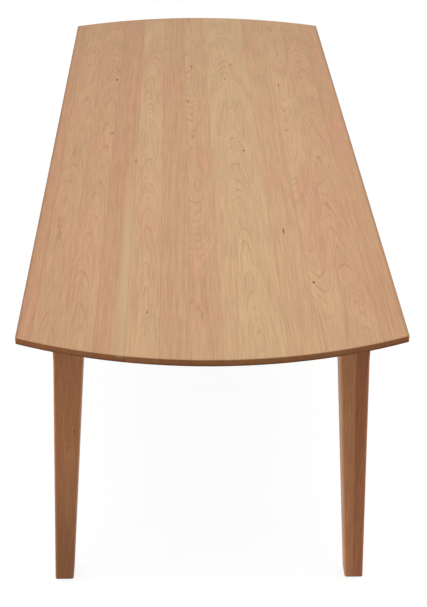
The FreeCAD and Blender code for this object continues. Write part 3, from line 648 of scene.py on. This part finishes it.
def raised(rise: float, spread: float, level: float) -> None:
    """Extrudes the selected face upwards to a level, and spreads it about the Z axis."""
    bpy.ops.mesh.extrude_region_move(TRANSFORM_OT_translate={"value": (0.0, 0.0, rise)})
    bpy.ops.transform.resize(value=(spread, spread, 1.0), center_override=(0.0, 0.0, level))


def turned(profile: Sequence[Pair], sides: int) -> Piece:
    """Turns a closed solid about the Z axis by extruding a disc from step to step.

    Args:
        profile: Radius and height of each step.
        sides: Number of sides.

    Returns:
        The solid, at the origin.
    """
    radius, height = profile[0]
    foot = (0.0, 0.0, height)
    picked()
    bpy.ops.mesh.primitive_circle_add(vertices=sides, radius=radius, fill_type="NGON", location=foot)
    bpy.ops.object.transform_apply(location=True, rotation=True, scale=True)
    piece = bpy.context.object
    with edited(piece):
        for wide, high in profile[1:]:
            raised(high - height, wide / radius, high)
            radius, height = wide, high
    return piece


def finished_with(piece: Piece, kind: str, **settings: object) -> None:
    """Adds a modifier to a piece and applies it.

    Args:
        piece: The piece.
        kind: Blender's name of the modifier type.
        settings: Properties of the modifier.
    """
    modifier = piece.modifiers.new(kind.lower(), kind)
    for name, value in settings.items():
        setattr(modifier, name, value)
    picked(piece)
    bpy.ops.object.modifier_apply(modifier=modifier.name)


def cut_with(piece: Piece, tool: Piece, operation: str) -> None:
    """Cuts a piece with a tool, by DIFFERENCE or INTERSECT, and throws the tool away."""
    finished_with(piece, "BOOLEAN", object=tool, operation=operation, solver="EXACT")
    bpy.data.objects.remove(tool, do_unlink=True)


def smoothed(piece: Piece, crease: float, material: Material) -> Piece:
    """Shades a piece smoothly and gives it its material.

    Args:
        piece: The piece.
        crease: Angle in degrees past which an edge stays sharp.
        material: What it is made of.

    Returns:
        The piece.
    """
    picked(piece)
    bpy.ops.object.shade_smooth_by_angle(angle=math.radians(crease))
    piece.data.materials.clear()
    piece.data.materials.append(material)
    return piece


def aimed(place: Sequence[float], direction: Sequence[float], spin: float) -> Matrix:
    """Matrix that puts a piece's foot at a place and points its Z axis in a direction.

    Args:
        place: Where the piece's origin goes.
        direction: Where its Z axis points.
        spin: Its turn about that axis in degrees.

    Returns:
        The matrix.
    """
    lean = Vector(UPWARDS).rotation_difference(Vector(direction)).to_matrix().to_4x4()
    return Matrix.Translation(place) @ lean @ Matrix.Rotation(math.radians(spin), 4, "Z")


def copied(master: Piece, name: str, node: Optional[str], body: str,
           places: Sequence[Matrix]) -> Sequence[Piece]:
    """Copies a piece to each of its places and takes the first one away.

    Args:
        master: The piece, modelled at the origin.
        name: Name of the copies, which are numbered.
        node: CAD node that they stand for, or None for a fitting that only the scene has.
        body: CAD body that they ride on.
        places: Where each copy goes.

    Returns:
        The copies.
    """
    pieces = []
    for number, place in enumerate(places, start=1):
        mesh = master.data.copy()
        mesh.transform(place)
        piece = bpy.data.objects.new(f"{name}_{number}", mesh)
        bpy.context.scene.collection.objects.link(piece)
        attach(piece, body)
        if node is not None:
            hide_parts(node)
        pieces.append(piece)
        LOG.info("%s rides on %s", piece.name, body)
    bpy.data.objects.remove(master, do_unlink=True)
    return pieces


def steps_between(first: float, last: float, count: int) -> Sequence[float]:
    """Even steps from the first to the last value."""
    return [first + (last - first) * index / max(count - 1, 1) for index in range(count)]


@dataclass(frozen=True)
class WoodScrews:
    """Countersunk cross-recess screws under the top and in the corner blocks."""

    head_radius: float = 0.0048
    head_edge: float = 0.00015
    head_height: float = 0.0028
    shank_radius: float = 0.0025
    tip_radius: float = 0.0003
    tip_length: float = 0.004
    recess_span: float = 0.0052
    recess_width: float = 0.0012
    recess_depth: float = 0.0021
    recess_taper: float = 0.45
    sides: int = 32
    crease: float = 30.0
    block_screw_length: float = 0.027
    block_side_y: float = 0.85689
    block_end_x: float = 0.26839
    spin_step: float = 37.0

    def recess(self, turn: float) -> Piece:
        """Makes the cutter of one bar of the cross, narrower at its bottom.

        Args:
            turn: Turn of the bar in degrees.

        Returns:
            The cutter.
        """
        picked()
        bpy.ops.mesh.primitive_plane_add(size=1.0, location=(0.0, 0.0, -self.recess_depth))
        bar = bpy.context.object
        bar.scale = (self.recess_span, self.recess_width, 1.0)
        bar.rotation_euler.z = math.radians(turn)
        bpy.ops.object.transform_apply(location=True, rotation=True, scale=True)
        with edited(bar):
            raised(2 * self.recess_depth, self.recess_taper, self.recess_depth)
        return bar

    def model(self, length: float) -> Piece:
        """Models one screw with its head at the origin and its tip upwards.

        Args:
            length: Whole length.

        Returns:
            The screw.
        """
        profile = (
            (self.head_radius - self.head_edge, 0.0),
            (self.head_radius, self.head_edge),
            (self.shank_radius, self.head_height),
            (self.shank_radius, length - self.tip_length),
            (self.tip_radius, length),
        )
        screw = turned(profile, self.sides)
        for turn in (0.0, 90.0):
            cut_with(screw, self.recess(turn), "DIFFERENCE")
        return smoothed(screw, self.crease, ZINC_STEEL.material())

    def lay(self, node: str, body: str, xs: Sequence[float], ys: Sequence[float]) -> None:
        """Puts upright screws at every crossing of two rows.

        Args:
            node: CAD node that they stand for.
            body: CAD body that they ride on.
            xs: Places across the table.
            ys: Places along the table.
        """
        low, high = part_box(node)
        spots = [(x, y, low.z) for x in xs for y in ys]
        places = [aimed(spot, UPWARDS, self.spin_step * index) for index, spot in enumerate(spots)]
        copied(self.model(high.z - low.z), node, node, body, places)

    def build(self) -> None:
        """Builds all the screws."""
        inset = self.head_radius
        for node, body, across, along in (
            ("runner_screws_front", "front_half", 2, 4),
            ("runner_screws_back", "back_half", 2, 4),
            ("batten_screws_front", "front_half", 3, 1),
            ("batten_screws_back", "back_half", 3, 1),
        ):
            low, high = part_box(node)
            xs = steps_between(low.x + inset, high.x - inset, across)
            self.lay(node, body, xs, steps_between(low.y + inset, high.y - inset, along))
        low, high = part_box("slide_rail_screws")
        rails = ("cross_rail_front", "cross_rail_mid_front", "cross_rail_mid_back", "cross_rail_back")
        middles = [(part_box(rail)[0].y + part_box(rail)[1].y) / 2 for rail in rails]
        self.lay("slide_rail_screws", "frame", steps_between(low.x + inset, high.x - inset, 2), middles)
        self.build_block_screws()

    def build_block_screws(self) -> None:
        """Builds the screws from each corner block into the side apron and the end apron."""
        low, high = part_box("corner_block_screws")
        level = (low.z + high.z) / 2
        places = []
        for side, end in CORNERS:
            into_side = (side * (high.x - self.block_screw_length), end * self.block_side_y, level)
            into_end = (side * self.block_end_x, end * (high.y - self.block_screw_length), level)
            places.append(aimed(into_side, (side, 0.0, 0.0), self.spin_step * len(places)))
            places.append(aimed(into_end, (0.0, end, 0.0), self.spin_step * len(places)))
        master = self.model(self.block_screw_length)
        copied(master, "corner_block_screws", "corner_block_screws", "frame", places)


@dataclass
class LegBolts:
    """Threaded hanger bolts that draw the legs into the corner blocks, and their nuts."""

    bolt_radius: float = 0.004
    bolt_length: float = 0.085
    bolt_crease: float = 25.0
    tip_length: float = 0.008
    tip_radius: float = 0.00043125
    root_radius: float = 0.00345
    thread_pitch: float = 0.00125
    thread_turns: int = 18
    thread_steps: int = 24
    thread_gap_share: float = 0.03
    weld_gap: float = 0.00000125
    core_lap: float = 0.00005
    shank_step: float = 0.0005
    spin_step: float = 40.0
    nut_flats: float = 0.013
    nut_corners: int = 6
    nut_height: float = 0.0065
    nut_bore: float = 0.0041
    nut_chamfer: float = 0.0009
    nut_back: float = 0.0069
    nut_sides: int = 48
    nut_crease: float = 20.0
    cut_over: float = 0.00002

    def thread(self) -> Piece:
        """Winds the thread's ridge up the Z axis.

        Returns:
            The wound ridge.
        """
        corners = (
            (self.root_radius, self.thread_gap_share),
            (self.bolt_radius, 0.5),
            (self.root_radius, 1 - self.thread_gap_share),
        )
        picked()
        bpy.ops.mesh.primitive_circle_add(vertices=len(corners), radius=self.bolt_radius)
        ridge = bpy.context.object
        for vertex, (radius, share) in zip(ridge.data.vertices, corners):
            vertex.co = (radius, 0.0, share * self.thread_pitch)
        finished_with(
            ridge, "SCREW", screw_offset=self.thread_pitch, iterations=self.thread_turns,
            steps=self.thread_steps, render_steps=self.thread_steps,
        )
        with edited(ridge):
            bpy.ops.mesh.remove_doubles(threshold=self.weld_gap)
            bpy.ops.mesh.fill_holes(sides=len(corners))
        return ridge

    def bolt(self) -> Piece:
        """Models a bolt with its nut end at the origin and its point upwards.

        Returns:
            The bolt.
        """
        wound = self.thread_pitch * (self.thread_turns + 1)
        start = self.thread_pitch / 2
        profile = (
            (self.root_radius - start, 0.0),
            (self.root_radius + self.core_lap, start),
            (self.root_radius + self.core_lap, wound),
            (self.bolt_radius, wound + self.shank_step),
            (self.bolt_radius, self.bolt_length - self.tip_length),
            (self.tip_radius, self.bolt_length),
        )
        core = turned(profile, self.thread_steps)
        picked(self.thread(), core)
        bpy.ops.object.join()
        return smoothed(core, self.bolt_crease, ZINC_STEEL.material())

    def waisted(self, rim: float, waist: float, slope: float) -> Sequence[Pair]:
        """Profile of a cutter a little taller than the nut, that slopes from its waist to its rims."""
        top = self.nut_height
        return (rim, -self.cut_over), (waist, slope), (waist, top - slope), (rim, top + self.cut_over)

    def nut(self) -> Piece:
        """Models a hexagon nut with its chamfered corners and its bore, on the origin.

        Returns:
            The nut.
        """
        corner = self.nut_flats / math.sqrt(3)
        flare = self.nut_chamfer / 2
        outside = self.waisted(self.nut_flats / 2, corner, self.nut_chamfer)
        inside = self.waisted(self.nut_bore + flare, self.nut_bore, flare)
        nut = turned(((corner, 0.0), (corner, self.nut_height)), self.nut_corners)
        cut_with(nut, turned(outside, self.nut_sides), "INTERSECT")
        cut_with(nut, turned(inside, self.nut_sides), "DIFFERENCE")
        return smoothed(nut, self.nut_crease, ZINC_STEEL.material())

    def build(self) -> None:
        """Builds the bolts and nuts at the four corners."""
        low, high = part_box("hanger_bolts")
        level = (low.z + high.z) / 2
        bolts = []
        nuts = []
        for side, end in CORNERS:
            line = Vector((side, end, 0.0)).normalized()
            foot = Vector((side * high.x, end * high.y, level)) - line * self.bolt_length
            bolts.append(aimed(foot, line, self.spin_step * len(bolts)))
            nuts.append(aimed(foot + line * self.nut_back, line, 0.0))
        copied(self.bolt(), "hanger_bolt", "hanger_bolts", "frame", bolts)
        copied(self.nut(), "bolt_nut", "bolt_nuts", "frame", nuts)


@dataclass(frozen=True)
class Board:
    """One board of the glued-up top, by shares of the top's width."""

    edge_share: float
    rosiness: float
    shade: float
    heart_share: float
    heart_depth: float
    heart_slope: float


PIP = seen(84, 46, 28)
GUM = seen(140, 84, 54)
SAPWOOD = seen(206, 178, 134)


@dataclass
class Top:
    """Both halves of the top and the wings of the leaf, in boards that run the whole length."""

    boards: Tuple[Board, ...] = (
        Board(0.000, 0.95, 0.955, 0.16, 0.06, 0.00),
        Board(0.040, 0.62, 0.965, 0.08, 0.07, 0.03),
        Board(0.120, 0.65, 0.98, 0.165, 0.08, 0.04),
        Board(0.200, 0.85, 0.96, 0.40, 0.06, 0.01),
        Board(0.280, 0.22, 1.00, 0.322, 0.075, 0.045),
        Board(0.365, 0.55, 0.985, 0.55, 0.05, 0.01),
        Board(0.445, 0.36, 0.99, 0.46, 0.09, -0.035),
        Board(0.525, 0.05, 1.01, 0.605, 0.10, 0.05),
        Board(0.6875, 0.40, 1.015, 0.90, 0.06, 0.02),
        Board(0.770, 0.30, 1.025, 0.80, 0.08, -0.04),
        Board(0.850, 0.52, 1.01, 0.885, 0.10, 0.05),
        Board(0.930, 0.72, 1.00, 0.80, 0.08, 0.02),
    )
    marks: Tuple[Mark, ...] = (
        Mark((-0.277, 0.493, 0.762), (0.005, 0.010, 0.012), PIP),
        Mark((-0.275, 0.068, 0.762), (0.004, 0.010, 0.012), GUM),
        Mark((-0.027, 0.610, 0.762), (0.004, 0.016, 0.012), GUM),
        Mark((-0.042, 0.311, 0.762), (0.004, 0.014, 0.012), GUM),
        Mark((0.107, 0.626, 0.762), (0.003, 0.012, 0.012), GUM),
        Mark((0.084, 0.498, 0.762), (0.003, 0.012, 0.012), GUM),
        Mark((0.260, 0.443, 0.762), (0.004, 0.012, 0.012), GUM),
        Mark((0.119, -0.056, 0.762), (0.004, 0.008, 0.012), PIP),
        Mark((0.332, -0.104, 0.762), (0.003, 0.009, 0.012), GUM),
        Mark((0.198, -0.540, 0.762), (0.003, 0.022, 0.012), GUM, 0.9),
        Mark((0.251, -0.792, 0.762), (0.0035, 0.006, 0.012), PIP, 1.0),
        Mark((-0.150, -0.919, 0.762), (0.003, 0.010, 0.012), GUM, 0.6, 0.012),
        Mark((-0.197, -0.122, 0.762), (0.003, 0.020, 0.012), GUM, 0.7),
        Mark((-0.206, -0.700, 0.762), (0.022, 0.900, 0.012), SAPWOOD, 0.75, 0.0, 0.0),
    )
    depth_reach: float = 0.2
    slope_reach: float = 0.15
    swirl_reach: float = 8.0
    seed_reach: float = 97.0
    seam_width: float = 0.0005
    seam_shade: float = 0.72
    # Painted shade on the rim's lower half and on a band of the upper face along the sides.
    rim_painted_shade: float = 0.5
    rim_span: Pair = (0.97, 0.85)
    side_band: float = 0.012
    band_painted_shade: float = 0.7
    band_span: Pair = (0.3, 0.8)
    leaf_shift: float = 5.3

    def material(self, name: str, shift: float) -> Material:
        """Makes the material of boards glued edge to edge.

        Args:
            name: Name of the material.
            shift: Distance along the length by which the figure is moved.

        Returns:
            The material.
        """
        low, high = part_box("top_front")
        width = high.x - low.x
        bench = WoodBench(name, CHERRY_TOP, Grain.ALONG_Y)
        bench.along = bench.calc("ADD", bench.along, shift)
        share = bench.calc("MULTIPLY_ADD", bench.across, 1 / width, 0.5)
        count = len(self.boards)
        order_shares = [index / count for index in range(count)]
        tones = []
        plans = []
        for board, order_share in zip(self.boards, order_shares):
            tones.append(blended(CHERRY_TOP.honey, CHERRY_TOP.rose, board.rosiness, board.shade))
            depth_share = board.heart_depth / self.depth_reach
            slope_share = 0.5 + board.heart_slope / self.slope_reach / 2
            plans.append((board.heart_share, depth_share, order_share, slope_share))
        board_share, seam_gap = self.boards_at(bench, share)
        tone = bench.steps(board_share, order_shares, tones)[0]
        plan, slope = bench.steps(board_share, order_shares, plans)
        heart_share, heart_depth, order = bench.parts(plan)
        slope = bench.calc("MULTIPLY_ADD", slope, 2 * self.slope_reach, -self.slope_reach)
        seed = bench.calc("MULTIPLY", order, self.seed_reach)
        aside = bench.calc("MULTIPLY", bench.calc("SUBTRACT", share, heart_share), width)
        level = bench.calc("SUBTRACT", bench.through, high.z)
        below = bench.calc("MULTIPLY_ADD", heart_depth, self.depth_reach, level)
        below = bench.calc("MULTIPLY_ADD", slope, bench.along, below)
        distance = bench.heart_distance(aside, below, seed)
        for mark in self.marks:
            if mark.swirl:
                near = bench.span(bench.spot(mark), self.swirl_reach, 0.0)
                distance = bench.calc("MULTIPLY_ADD", near, mark.swirl, distance)
        colour = bench.marked(bench.finished(tone, distance, seed), self.marks)
        seam_edge = self.seam_width / width / 2
        colour = bench.changed(colour, bench.span(seam_gap, 2 * seam_edge, seam_edge), self.seam_shade - 1)
        return bench.paint(self.with_painted_edge_shade(bench, colour))

    def boards_at(self, bench: WoodBench, share: Socket) -> Tuple[Socket, Socket]:
        """Finds which board a place across the top lies on.

        Args:
            bench: The material.
            share: Place as a share of the width.

        Returns:
            The middle of the board's step on a ramp of all the boards, and the share of the width to the
            nearest glue line.
        """
        passed: Feed = 0.5
        nearest: Feed = 1.0
        for board in self.boards[1:]:
            gap = bench.calc("SUBTRACT", share, board.edge_share)
            passed = bench.calc("ADD", passed, bench.calc("GREATER_THAN", gap, 0.0))
            nearest = bench.calc("MINIMUM", nearest, bench.calc("ABSOLUTE", gap))
        return bench.calc("DIVIDE", passed, len(self.boards)), nearest

    def with_painted_edge_shade(self, bench: WoodBench, colour: Socket) -> Socket:
        """Paints shade on the rim's lower half and on a band of the upper face along the sides.

        Args:
            bench: The material.
            colour: Colour of the wood.

        Returns:
            The colour with its painted shade on the rim and along the sides.
        """
        low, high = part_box("top_front")
        upright = bench.normal[2]
        # Painted shade along the sides of the upper face, and on the rim's lower half.
        band = bench.span(bench.calc("ABSOLUTE", bench.across), high.x - self.side_band, high.x)
        band = bench.calc("MULTIPLY", band, bench.span(upright, *self.band_span))
        lower = bench.span(bench.through, (low.z + high.z) / 2, low.z)
        rim = bench.span(bench.calc("ABSOLUTE", upright), *self.rim_span)
        rim = bench.calc("MULTIPLY", rim, lower)
        return bench.changed(bench.changed(colour, band, self.band_painted_shade - 1), rim, self.rim_painted_shade - 1)

    def dress(self) -> None:
        """Dresses the halves of the top and the leaf."""
        dress(("top_front", "top_back"), self.material("cherry_top", 0.0))
        dress(("leaf_wing_upper", "leaf_wing_lower"), self.material("cherry_leaf", self.leaf_shift))


@dataclass(frozen=True)
class LegPlan:
    """What tells one leg from another: its wood, and how much darker or lighter it grows towards the foot."""

    name: str
    heart: Pair
    seed: float
    rosiness: float
    foot_shade: float
    glue_line: Optional[Pair] = None
    far_rosiness: float = 0.0
    far_shade: float = 1.0
    far_seed: float = 8.3
    marks: Tuple[Mark, ...] = ()


@dataclass
class Legs:
    """Four raked legs, each glued up from cherry of its own figure."""

    plans: Tuple[LegPlan, ...] = (
        LegPlan("leg_front_left", (0.050, 0.045), 3.1, 0.45, 0.67, marks=(
            Mark((-0.3255, -0.987, 0.468), (0.0022, 0.012, 0.005), PIP),
            Mark((-0.3456, -0.988, 0.420), (0.0016, 0.012, 0.007), PIP, 0.7),
        )),
        LegPlan("leg_front_right", (-0.060, 0.050), 14.6, 0.10, 1.22, (0.0025, -0.0021), 0.95, 0.87, marks=(
            Mark((0.3239, -0.984, 0.554), (0.0014, 0.010, 0.004), PIP, 0.6),
            Mark((0.3400, -0.989, 0.380), (0.0014, 0.010, 0.004), PIP, 0.6),
        )),
        LegPlan("leg_back_left", (0.070, -0.040), 25.2, 0.45, 1.0, (-0.003, -0.0043), 0.75),
        LegPlan("leg_back_right", (-0.045, -0.060), 36.9, 0.5, 0.95),
    )
    block_width: float = 0.069
    rake: float = 0.036
    fade_span: Pair = (0.3, 1.0)
    # Painted shade on the lowest part of each foot, next to the floor.
    painted_contact_span: Pair = (0.016, 0.004)
    painted_contact_shade: float = 0.72

    def material(self, plan: LegPlan) -> Material:
        """Makes the material of one leg, whose grain follows its rake.

        Args:
            plan: What tells this leg's wood from the others.

        Returns:
            The material.
        """
        low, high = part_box(plan.name)
        block_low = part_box("apron_front")[0].z
        bench = WoodBench(plan.name + "_cherry", CHERRY_FRAME, Grain.ALONG_Z)
        side = math.copysign(1.0, low.x)
        end = math.copysign(1.0, low.y)
        middle_x = min(abs(low.x), abs(high.x)) + self.block_width / 2
        middle_y = min(abs(low.y), abs(high.y)) + self.block_width / 2
        fall = bench.lay("ShaderNodeMapRange", {0: bench.along, 1: block_low, 2: 0.0}).outputs[0]
        aside = bench.calc("SUBTRACT", bench.across, side * middle_x)
        aside = bench.calc("MULTIPLY_ADD", fall, -side * self.rake, aside)
        below = bench.calc("SUBTRACT", bench.through, end * middle_y)
        below = bench.calc("MULTIPLY_ADD", fall, -end * self.rake, below)
        tone: Feed = blended(CHERRY_FRAME.honey, CHERRY_FRAME.rose, plan.rosiness)
        seed: Feed = plan.seed
        heart_aside = bench.calc("SUBTRACT", aside, plan.heart[0])
        if plan.glue_line is not None:
            joint_top, joint_foot = plan.glue_line
            joint = bench.calc("MULTIPLY_ADD", fall, joint_foot - joint_top, joint_top)
            beyond = bench.calc("GREATER_THAN", aside, joint)
            far = blended(CHERRY_FRAME.honey, CHERRY_FRAME.rose, plan.far_rosiness, plan.far_shade)
            tone = bench.mix(beyond, tone, far)
            seed = bench.calc("MULTIPLY_ADD", beyond, plan.far_seed, plan.seed)
            heart_aside = bench.calc("MULTIPLY_ADD", beyond, 2 * plan.heart[0], heart_aside)
        distance = bench.heart_distance(heart_aside, bench.calc("SUBTRACT", below, plan.heart[1]), seed)
        # The leg grows darker or lighter towards the foot, by its plan's foot_shade.
        tone = bench.changed(tone, bench.span(fall, *self.fade_span), plan.foot_shade - 1)
        colour = bench.marked(bench.finished(tone, distance, seed), plan.marks)
        # Painted shade on the lowest part of the foot, next to the floor.
        contact_shade = bench.span(bench.along, *self.painted_contact_span)
        return bench.paint(bench.changed(colour, contact_shade, self.painted_contact_shade - 1))

    def dress(self) -> None:
        """Dresses the four legs."""
        for plan in self.plans:
            dress((plan.name,), self.material(plan))


@dataclass
class Frame:
    """Aprons, corner blocks, cross rails and the fittings that hold them together."""

    side_aprons: Names = ("apron_left", "apron_right")
    end_aprons: Names = ("apron_front", "apron_back")
    cross_timbers: Names = (
        "cross_rail_front", "cross_rail_mid_front", "cross_rail_mid_back", "cross_rail_back", "corner_blocks",
        "batten_front", "batten_back",
    )

    def dress(self) -> None:
        """Dresses the frame, its washers and its glides."""
        side_wood = solid_wood("side_apron_cherry", CHERRY_FRAME, Grain.ALONG_Y, heart=(0.0, 0.60), seed=51.0)
        end_wood = solid_wood("end_apron_cherry", CHERRY_FRAME, Grain.ALONG_X, heart=(0.0, 0.62), seed=58.0)
        cross_wood = solid_wood("cross_maple", MAPLE, Grain.ALONG_X, heart=(0.0, 0.60), seed=63.0)
        dress(self.side_aprons, side_wood)
        dress(self.end_aprons, end_wood)
        dress(self.cross_timbers, cross_wood)
        dress(("bolt_washers",), ZINC_STEEL.material())
        dress(("foot_glides",), NYLON.material())


@dataclass
class Slides:
    """Rails and runners with their racks and pinions."""

    timbers: Names = (
        "slide_rail_left", "slide_rail_right", "runner_front_left", "runner_front_right", "runner_back_left",
        "runner_back_right",
    )
    steel: Names = (
        "rack_front_left", "rack_front_right", "rack_back_left", "rack_back_right", "gear_left", "gear_right",
        "gear_axles",
    )

    def dress(self) -> None:
        """Dresses the slides."""
        dress(self.timbers, solid_wood("slide_maple", MAPLE, Grain.ALONG_Y, heart=(0.1, 0.60), seed=70.0))
        dress(self.steel, ZINC_STEEL.material())
        dress(("thrust_washers",), NYLON.material())


@dataclass
class LeafStore:
    """What the folded leaf hangs on, rests on and folds with."""

    posts: Names = ("pivot_post_front", "pivot_post_back")
    cleats_and_dowels: Names = ("pivot_cleats", "leaf_rest_bar", "top_dowels", "leaf_dowels")
    brass: Names = ("hinge_barrels", "hinge_links", "hinge_pins")
    pad_sides: int = 48
    pad_crown: float = 0.0004
    pad_edge: float = 0.0006
    pad_slope_share: float = 0.6
    pad_crest_share: float = 0.2
    pad_crease: float = 60.0

    def build_pads(self) -> None:
        """Makes the two felt pads that the folded leaf rests on, crowned and soft at the rim."""
        low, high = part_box("rest_pads")
        radius = (high.x - low.x) / 2
        thick = high.z - low.z
        shoulder = thick - self.pad_crown
        profile = (
            (radius - self.pad_edge, 0.0),
            (radius, self.pad_edge / 2),
            (radius, shoulder - self.pad_edge),
            (radius - self.pad_edge, shoulder),
            (radius * self.pad_slope_share, thick - self.pad_crown / 4),
            (radius * self.pad_crest_share, thick),
        )
        pad = turned(profile, self.pad_sides)
        with edited(pad):
            bpy.ops.mesh.poke()
            bpy.ops.mesh.subdivide(number_cuts=1)
        finished_with(pad, "SUBSURF", levels=1, render_levels=1)
        smoothed(pad, self.pad_crease, FELT.material())
        middle = (low.x + high.x) / 2
        places = [Matrix.Translation((middle, y, low.z)) for y in (low.y + radius, high.y - radius)]
        for piece in copied(pad, "felt_pad", "rest_pads", "frame", places):
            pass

    def dress(self) -> None:
        """Dresses the posts, cleats, rest bar, dowels and fittings."""
        dress(self.posts, solid_wood("post_maple", MAPLE, Grain.ALONG_Z, heart=(0.1, 0.2), seed=77.0))
        cleat_wood = solid_wood("cleat_maple", MAPLE, Grain.ALONG_Y, heart=(0.0, 0.62), seed=81.0)
        dress(self.cleats_and_dowels, cleat_wood)
        dress(("pivot_pins",), ZINC_STEEL.material())
        dress(("pivot_bushes",), NYLON.material())
        dress(self.brass, BRASS.material())


@dataclass
class Locks:
    """Levers and catches that hold the halves of the top together."""

    steel: Names = ("lock_plates", "lock_catches", "lock_lever_left", "lock_lever_right")
    plate_width: float = 0.026
    plate_thickness: float = 0.003
    screw_inset: float = 0.0042
    screw_length: float = 0.014
    head_proud: float = 0.0001
    screws: WoodScrews = WoodScrews(
        head_radius=0.0026, head_height=0.0016, shank_radius=0.0014, tip_length=0.003,
        recess_span=0.003, recess_width=0.0007, recess_depth=0.0012,
    )

    def dress(self) -> None:
        """Dresses the locks in steel."""
        dress(self.steel, ZINC_STEEL.material())

    def build_screws(self) -> None:
        """Screws the four corners of each plate to the top, flush with its face."""
        for node, body in (("lock_plates", "back_half"), ("lock_catches", "front_half")):
            low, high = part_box(node)
            level = high.z - self.plate_thickness - self.head_proud
            places = []
            for side in (-1.0, 1.0):
                for inset in (self.screw_inset, self.plate_width - self.screw_inset):
                    for y in (low.y + self.screw_inset, high.y - self.screw_inset):
                        spot = (side * (high.x - inset), y, level)
                        places.append(aimed(spot, UPWARDS, self.screws.spin_step * len(places)))
            master = self.screws.model(self.screw_length)
            copied(master, f"{node}_screw", None, body, places)


@dataclass
class Studio:
    """Floor, soft lamps, white surround and camera."""

    floor_size: float = 40.0
    floor_bounce: float = 0.35
    floor_shade: float = 0.95
    floor_glow: float = 1.16
    shadow_share: float = 0.25
    ambient: float = 0.42
    lamp_size: float = 3.6
    lamp_place: Point = (0.0, -0.45, 3.6)
    lamp_power: float = 62.0
    fill_size: float = 2.4
    fill_place: Point = (-3.0, -4.2, 1.3)
    fill_power: float = 22.0
    side_size: float = 1.8
    side_place: Point = (4.2, -1.5, 1.1)
    side_powers: Pair = (62.0, 40.0)
    low_aim: Point = (0.0, -0.8, 0.4)
    camera_place: Point = (-0.082, -3.285, 2.315)
    camera_pitch: float = 27.91
    camera_yaw: float = 0.879
    camera_roll: float = 0.206
    camera_lens: float = 71.94
    camera_shift: Pair = (0.035, -0.174)

    def shown_rays(self, wiring: Wiring) -> Socket:
        """Adds a test that is 1 for rays that show the surround: from the camera, a gloss or a glass.

        Args:
            wiring: Node tree of the floor or the world.

        Returns:
            The test.
        """
        rays = wiring.lay("ShaderNodeLightPath", {}).outputs
        either = wiring.calc("MAXIMUM", rays["Is Camera Ray"], rays["Is Glossy Ray"])
        return wiring.calc("MAXIMUM", either, rays["Is Transmission Ray"])

    def floor(self) -> None:
        """Lays a pale floor that shows white, keeps the shadow and is clear from below."""
        picked()
        bpy.ops.mesh.primitive_plane_add(size=self.floor_size)
        plane = bpy.context.object
        plane.name = "floor"
        material = bpy.data.materials.new("pale_floor")
        material.use_nodes = True
        wiring = Wiring(material.node_tree)
        wiring.tree.nodes.clear()
        bounce, shade = [
            wiring.lay("ShaderNodeBsdfDiffuse", {"Color": (grey, grey, grey, 1.0)}).outputs[0]
            for grey in (self.floor_bounce, self.floor_shade)
        ]
        glow = wiring.lay("ShaderNodeEmission", {"Strength": self.floor_glow}).outputs[0]
        clear = wiring.lay("ShaderNodeBsdfTransparent", {}).outputs[0]
        shown = wiring.blend(self.shadow_share, glow, shade)
        upper = wiring.blend(self.shown_rays(wiring), bounce, shown)
        lower = wiring.lay("ShaderNodeNewGeometry", {}).outputs["Backfacing"]
        wiring.lay("ShaderNodeOutputMaterial", {"Surface": wiring.blend(lower, upper, clear)})
        plane.data.materials.append(material)

    def surround(self) -> None:
        """Makes a world that shows white and lights the table softly from all round."""
        world = bpy.data.worlds.new("white_surround")
        bpy.context.scene.world = world
        world.use_nodes = True
        wiring = Wiring(world.node_tree)
        feeds = {0: self.shown_rays(wiring), 3: self.ambient, 4: 1.0}
        back = wiring.tree.nodes["Background"]
        back.inputs["Color"].default_value = (1.0, 1.0, 1.0, 1.0)
        wiring.feed(back.inputs["Strength"], wiring.lay("ShaderNodeMapRange", feeds).outputs[0])

    def lamp(self, name: str, size: float, power: float, place: Point, aim: Point) -> None:
        """Hangs a soft square lamp.

        Args:
            name: Name of the lamp.
            size: Its side in metres.
            power: Its power in watts.
            place: Where it hangs.
            aim: Where it points.
        """
        light = bpy.data.lights.new(name, "AREA")
        light.shape = "SQUARE"
        light.size = size
        light.energy = power
        lamp = bpy.data.objects.new(name, light)
        lamp.location = place
        lamp.rotation_euler = (Vector(aim) - Vector(place)).to_track_quat("-Z", "Y").to_euler()
        bpy.context.scene.collection.objects.link(lamp)

    def camera(self) -> None:
        """Sets the camera up as the photograph's."""
        lens = bpy.data.cameras.new("camera")
        lens.lens = self.camera_lens
        lens.shift_x, lens.shift_y = self.camera_shift
        camera = bpy.data.objects.new("camera", lens)
        tilt = Euler((math.radians(90 - self.camera_pitch), 0.0, -math.radians(self.camera_yaw))).to_matrix()
        turn = tilt @ Matrix.Rotation(math.radians(self.camera_roll), 3, "Z")
        camera.location = self.camera_place
        camera.rotation_euler = turn.to_euler()
        bpy.context.scene.collection.objects.link(camera)
        bpy.context.scene.camera = camera

    def build(self) -> None:
        """Builds the studio."""
        self.floor()
        self.surround()
        self.lamp("overhead", self.lamp_size, self.lamp_power, self.lamp_place, (*self.lamp_place[:2], 0.0))
        self.lamp("fill", self.fill_size, self.fill_power, self.fill_place, self.low_aim)
        away, along, height = self.side_place
        self.lamp("left", self.side_size, self.side_powers[0], (-away, along, height), self.low_aim)
        self.lamp("right", self.side_size, self.side_powers[1], (away, along, height), self.low_aim)
        self.camera()
        bpy.context.scene.view_settings.view_transform = "Standard"


def main() -> None:
    """Dresses the table and sets up the studio."""
    logging.basicConfig(level=logging.INFO, format="%(message)s")
    leaf_store = LeafStore()
    locks = Locks()
    for assembly in (Top(), Legs(), Frame(), Slides(), leaf_store, locks):
        assembly.dress()
    locks.build_screws()
    WoodScrews().build()
    LegBolts().build()
    leaf_store.build_pads()
    Studio().build()


if __name__ == "__main__":
    main()
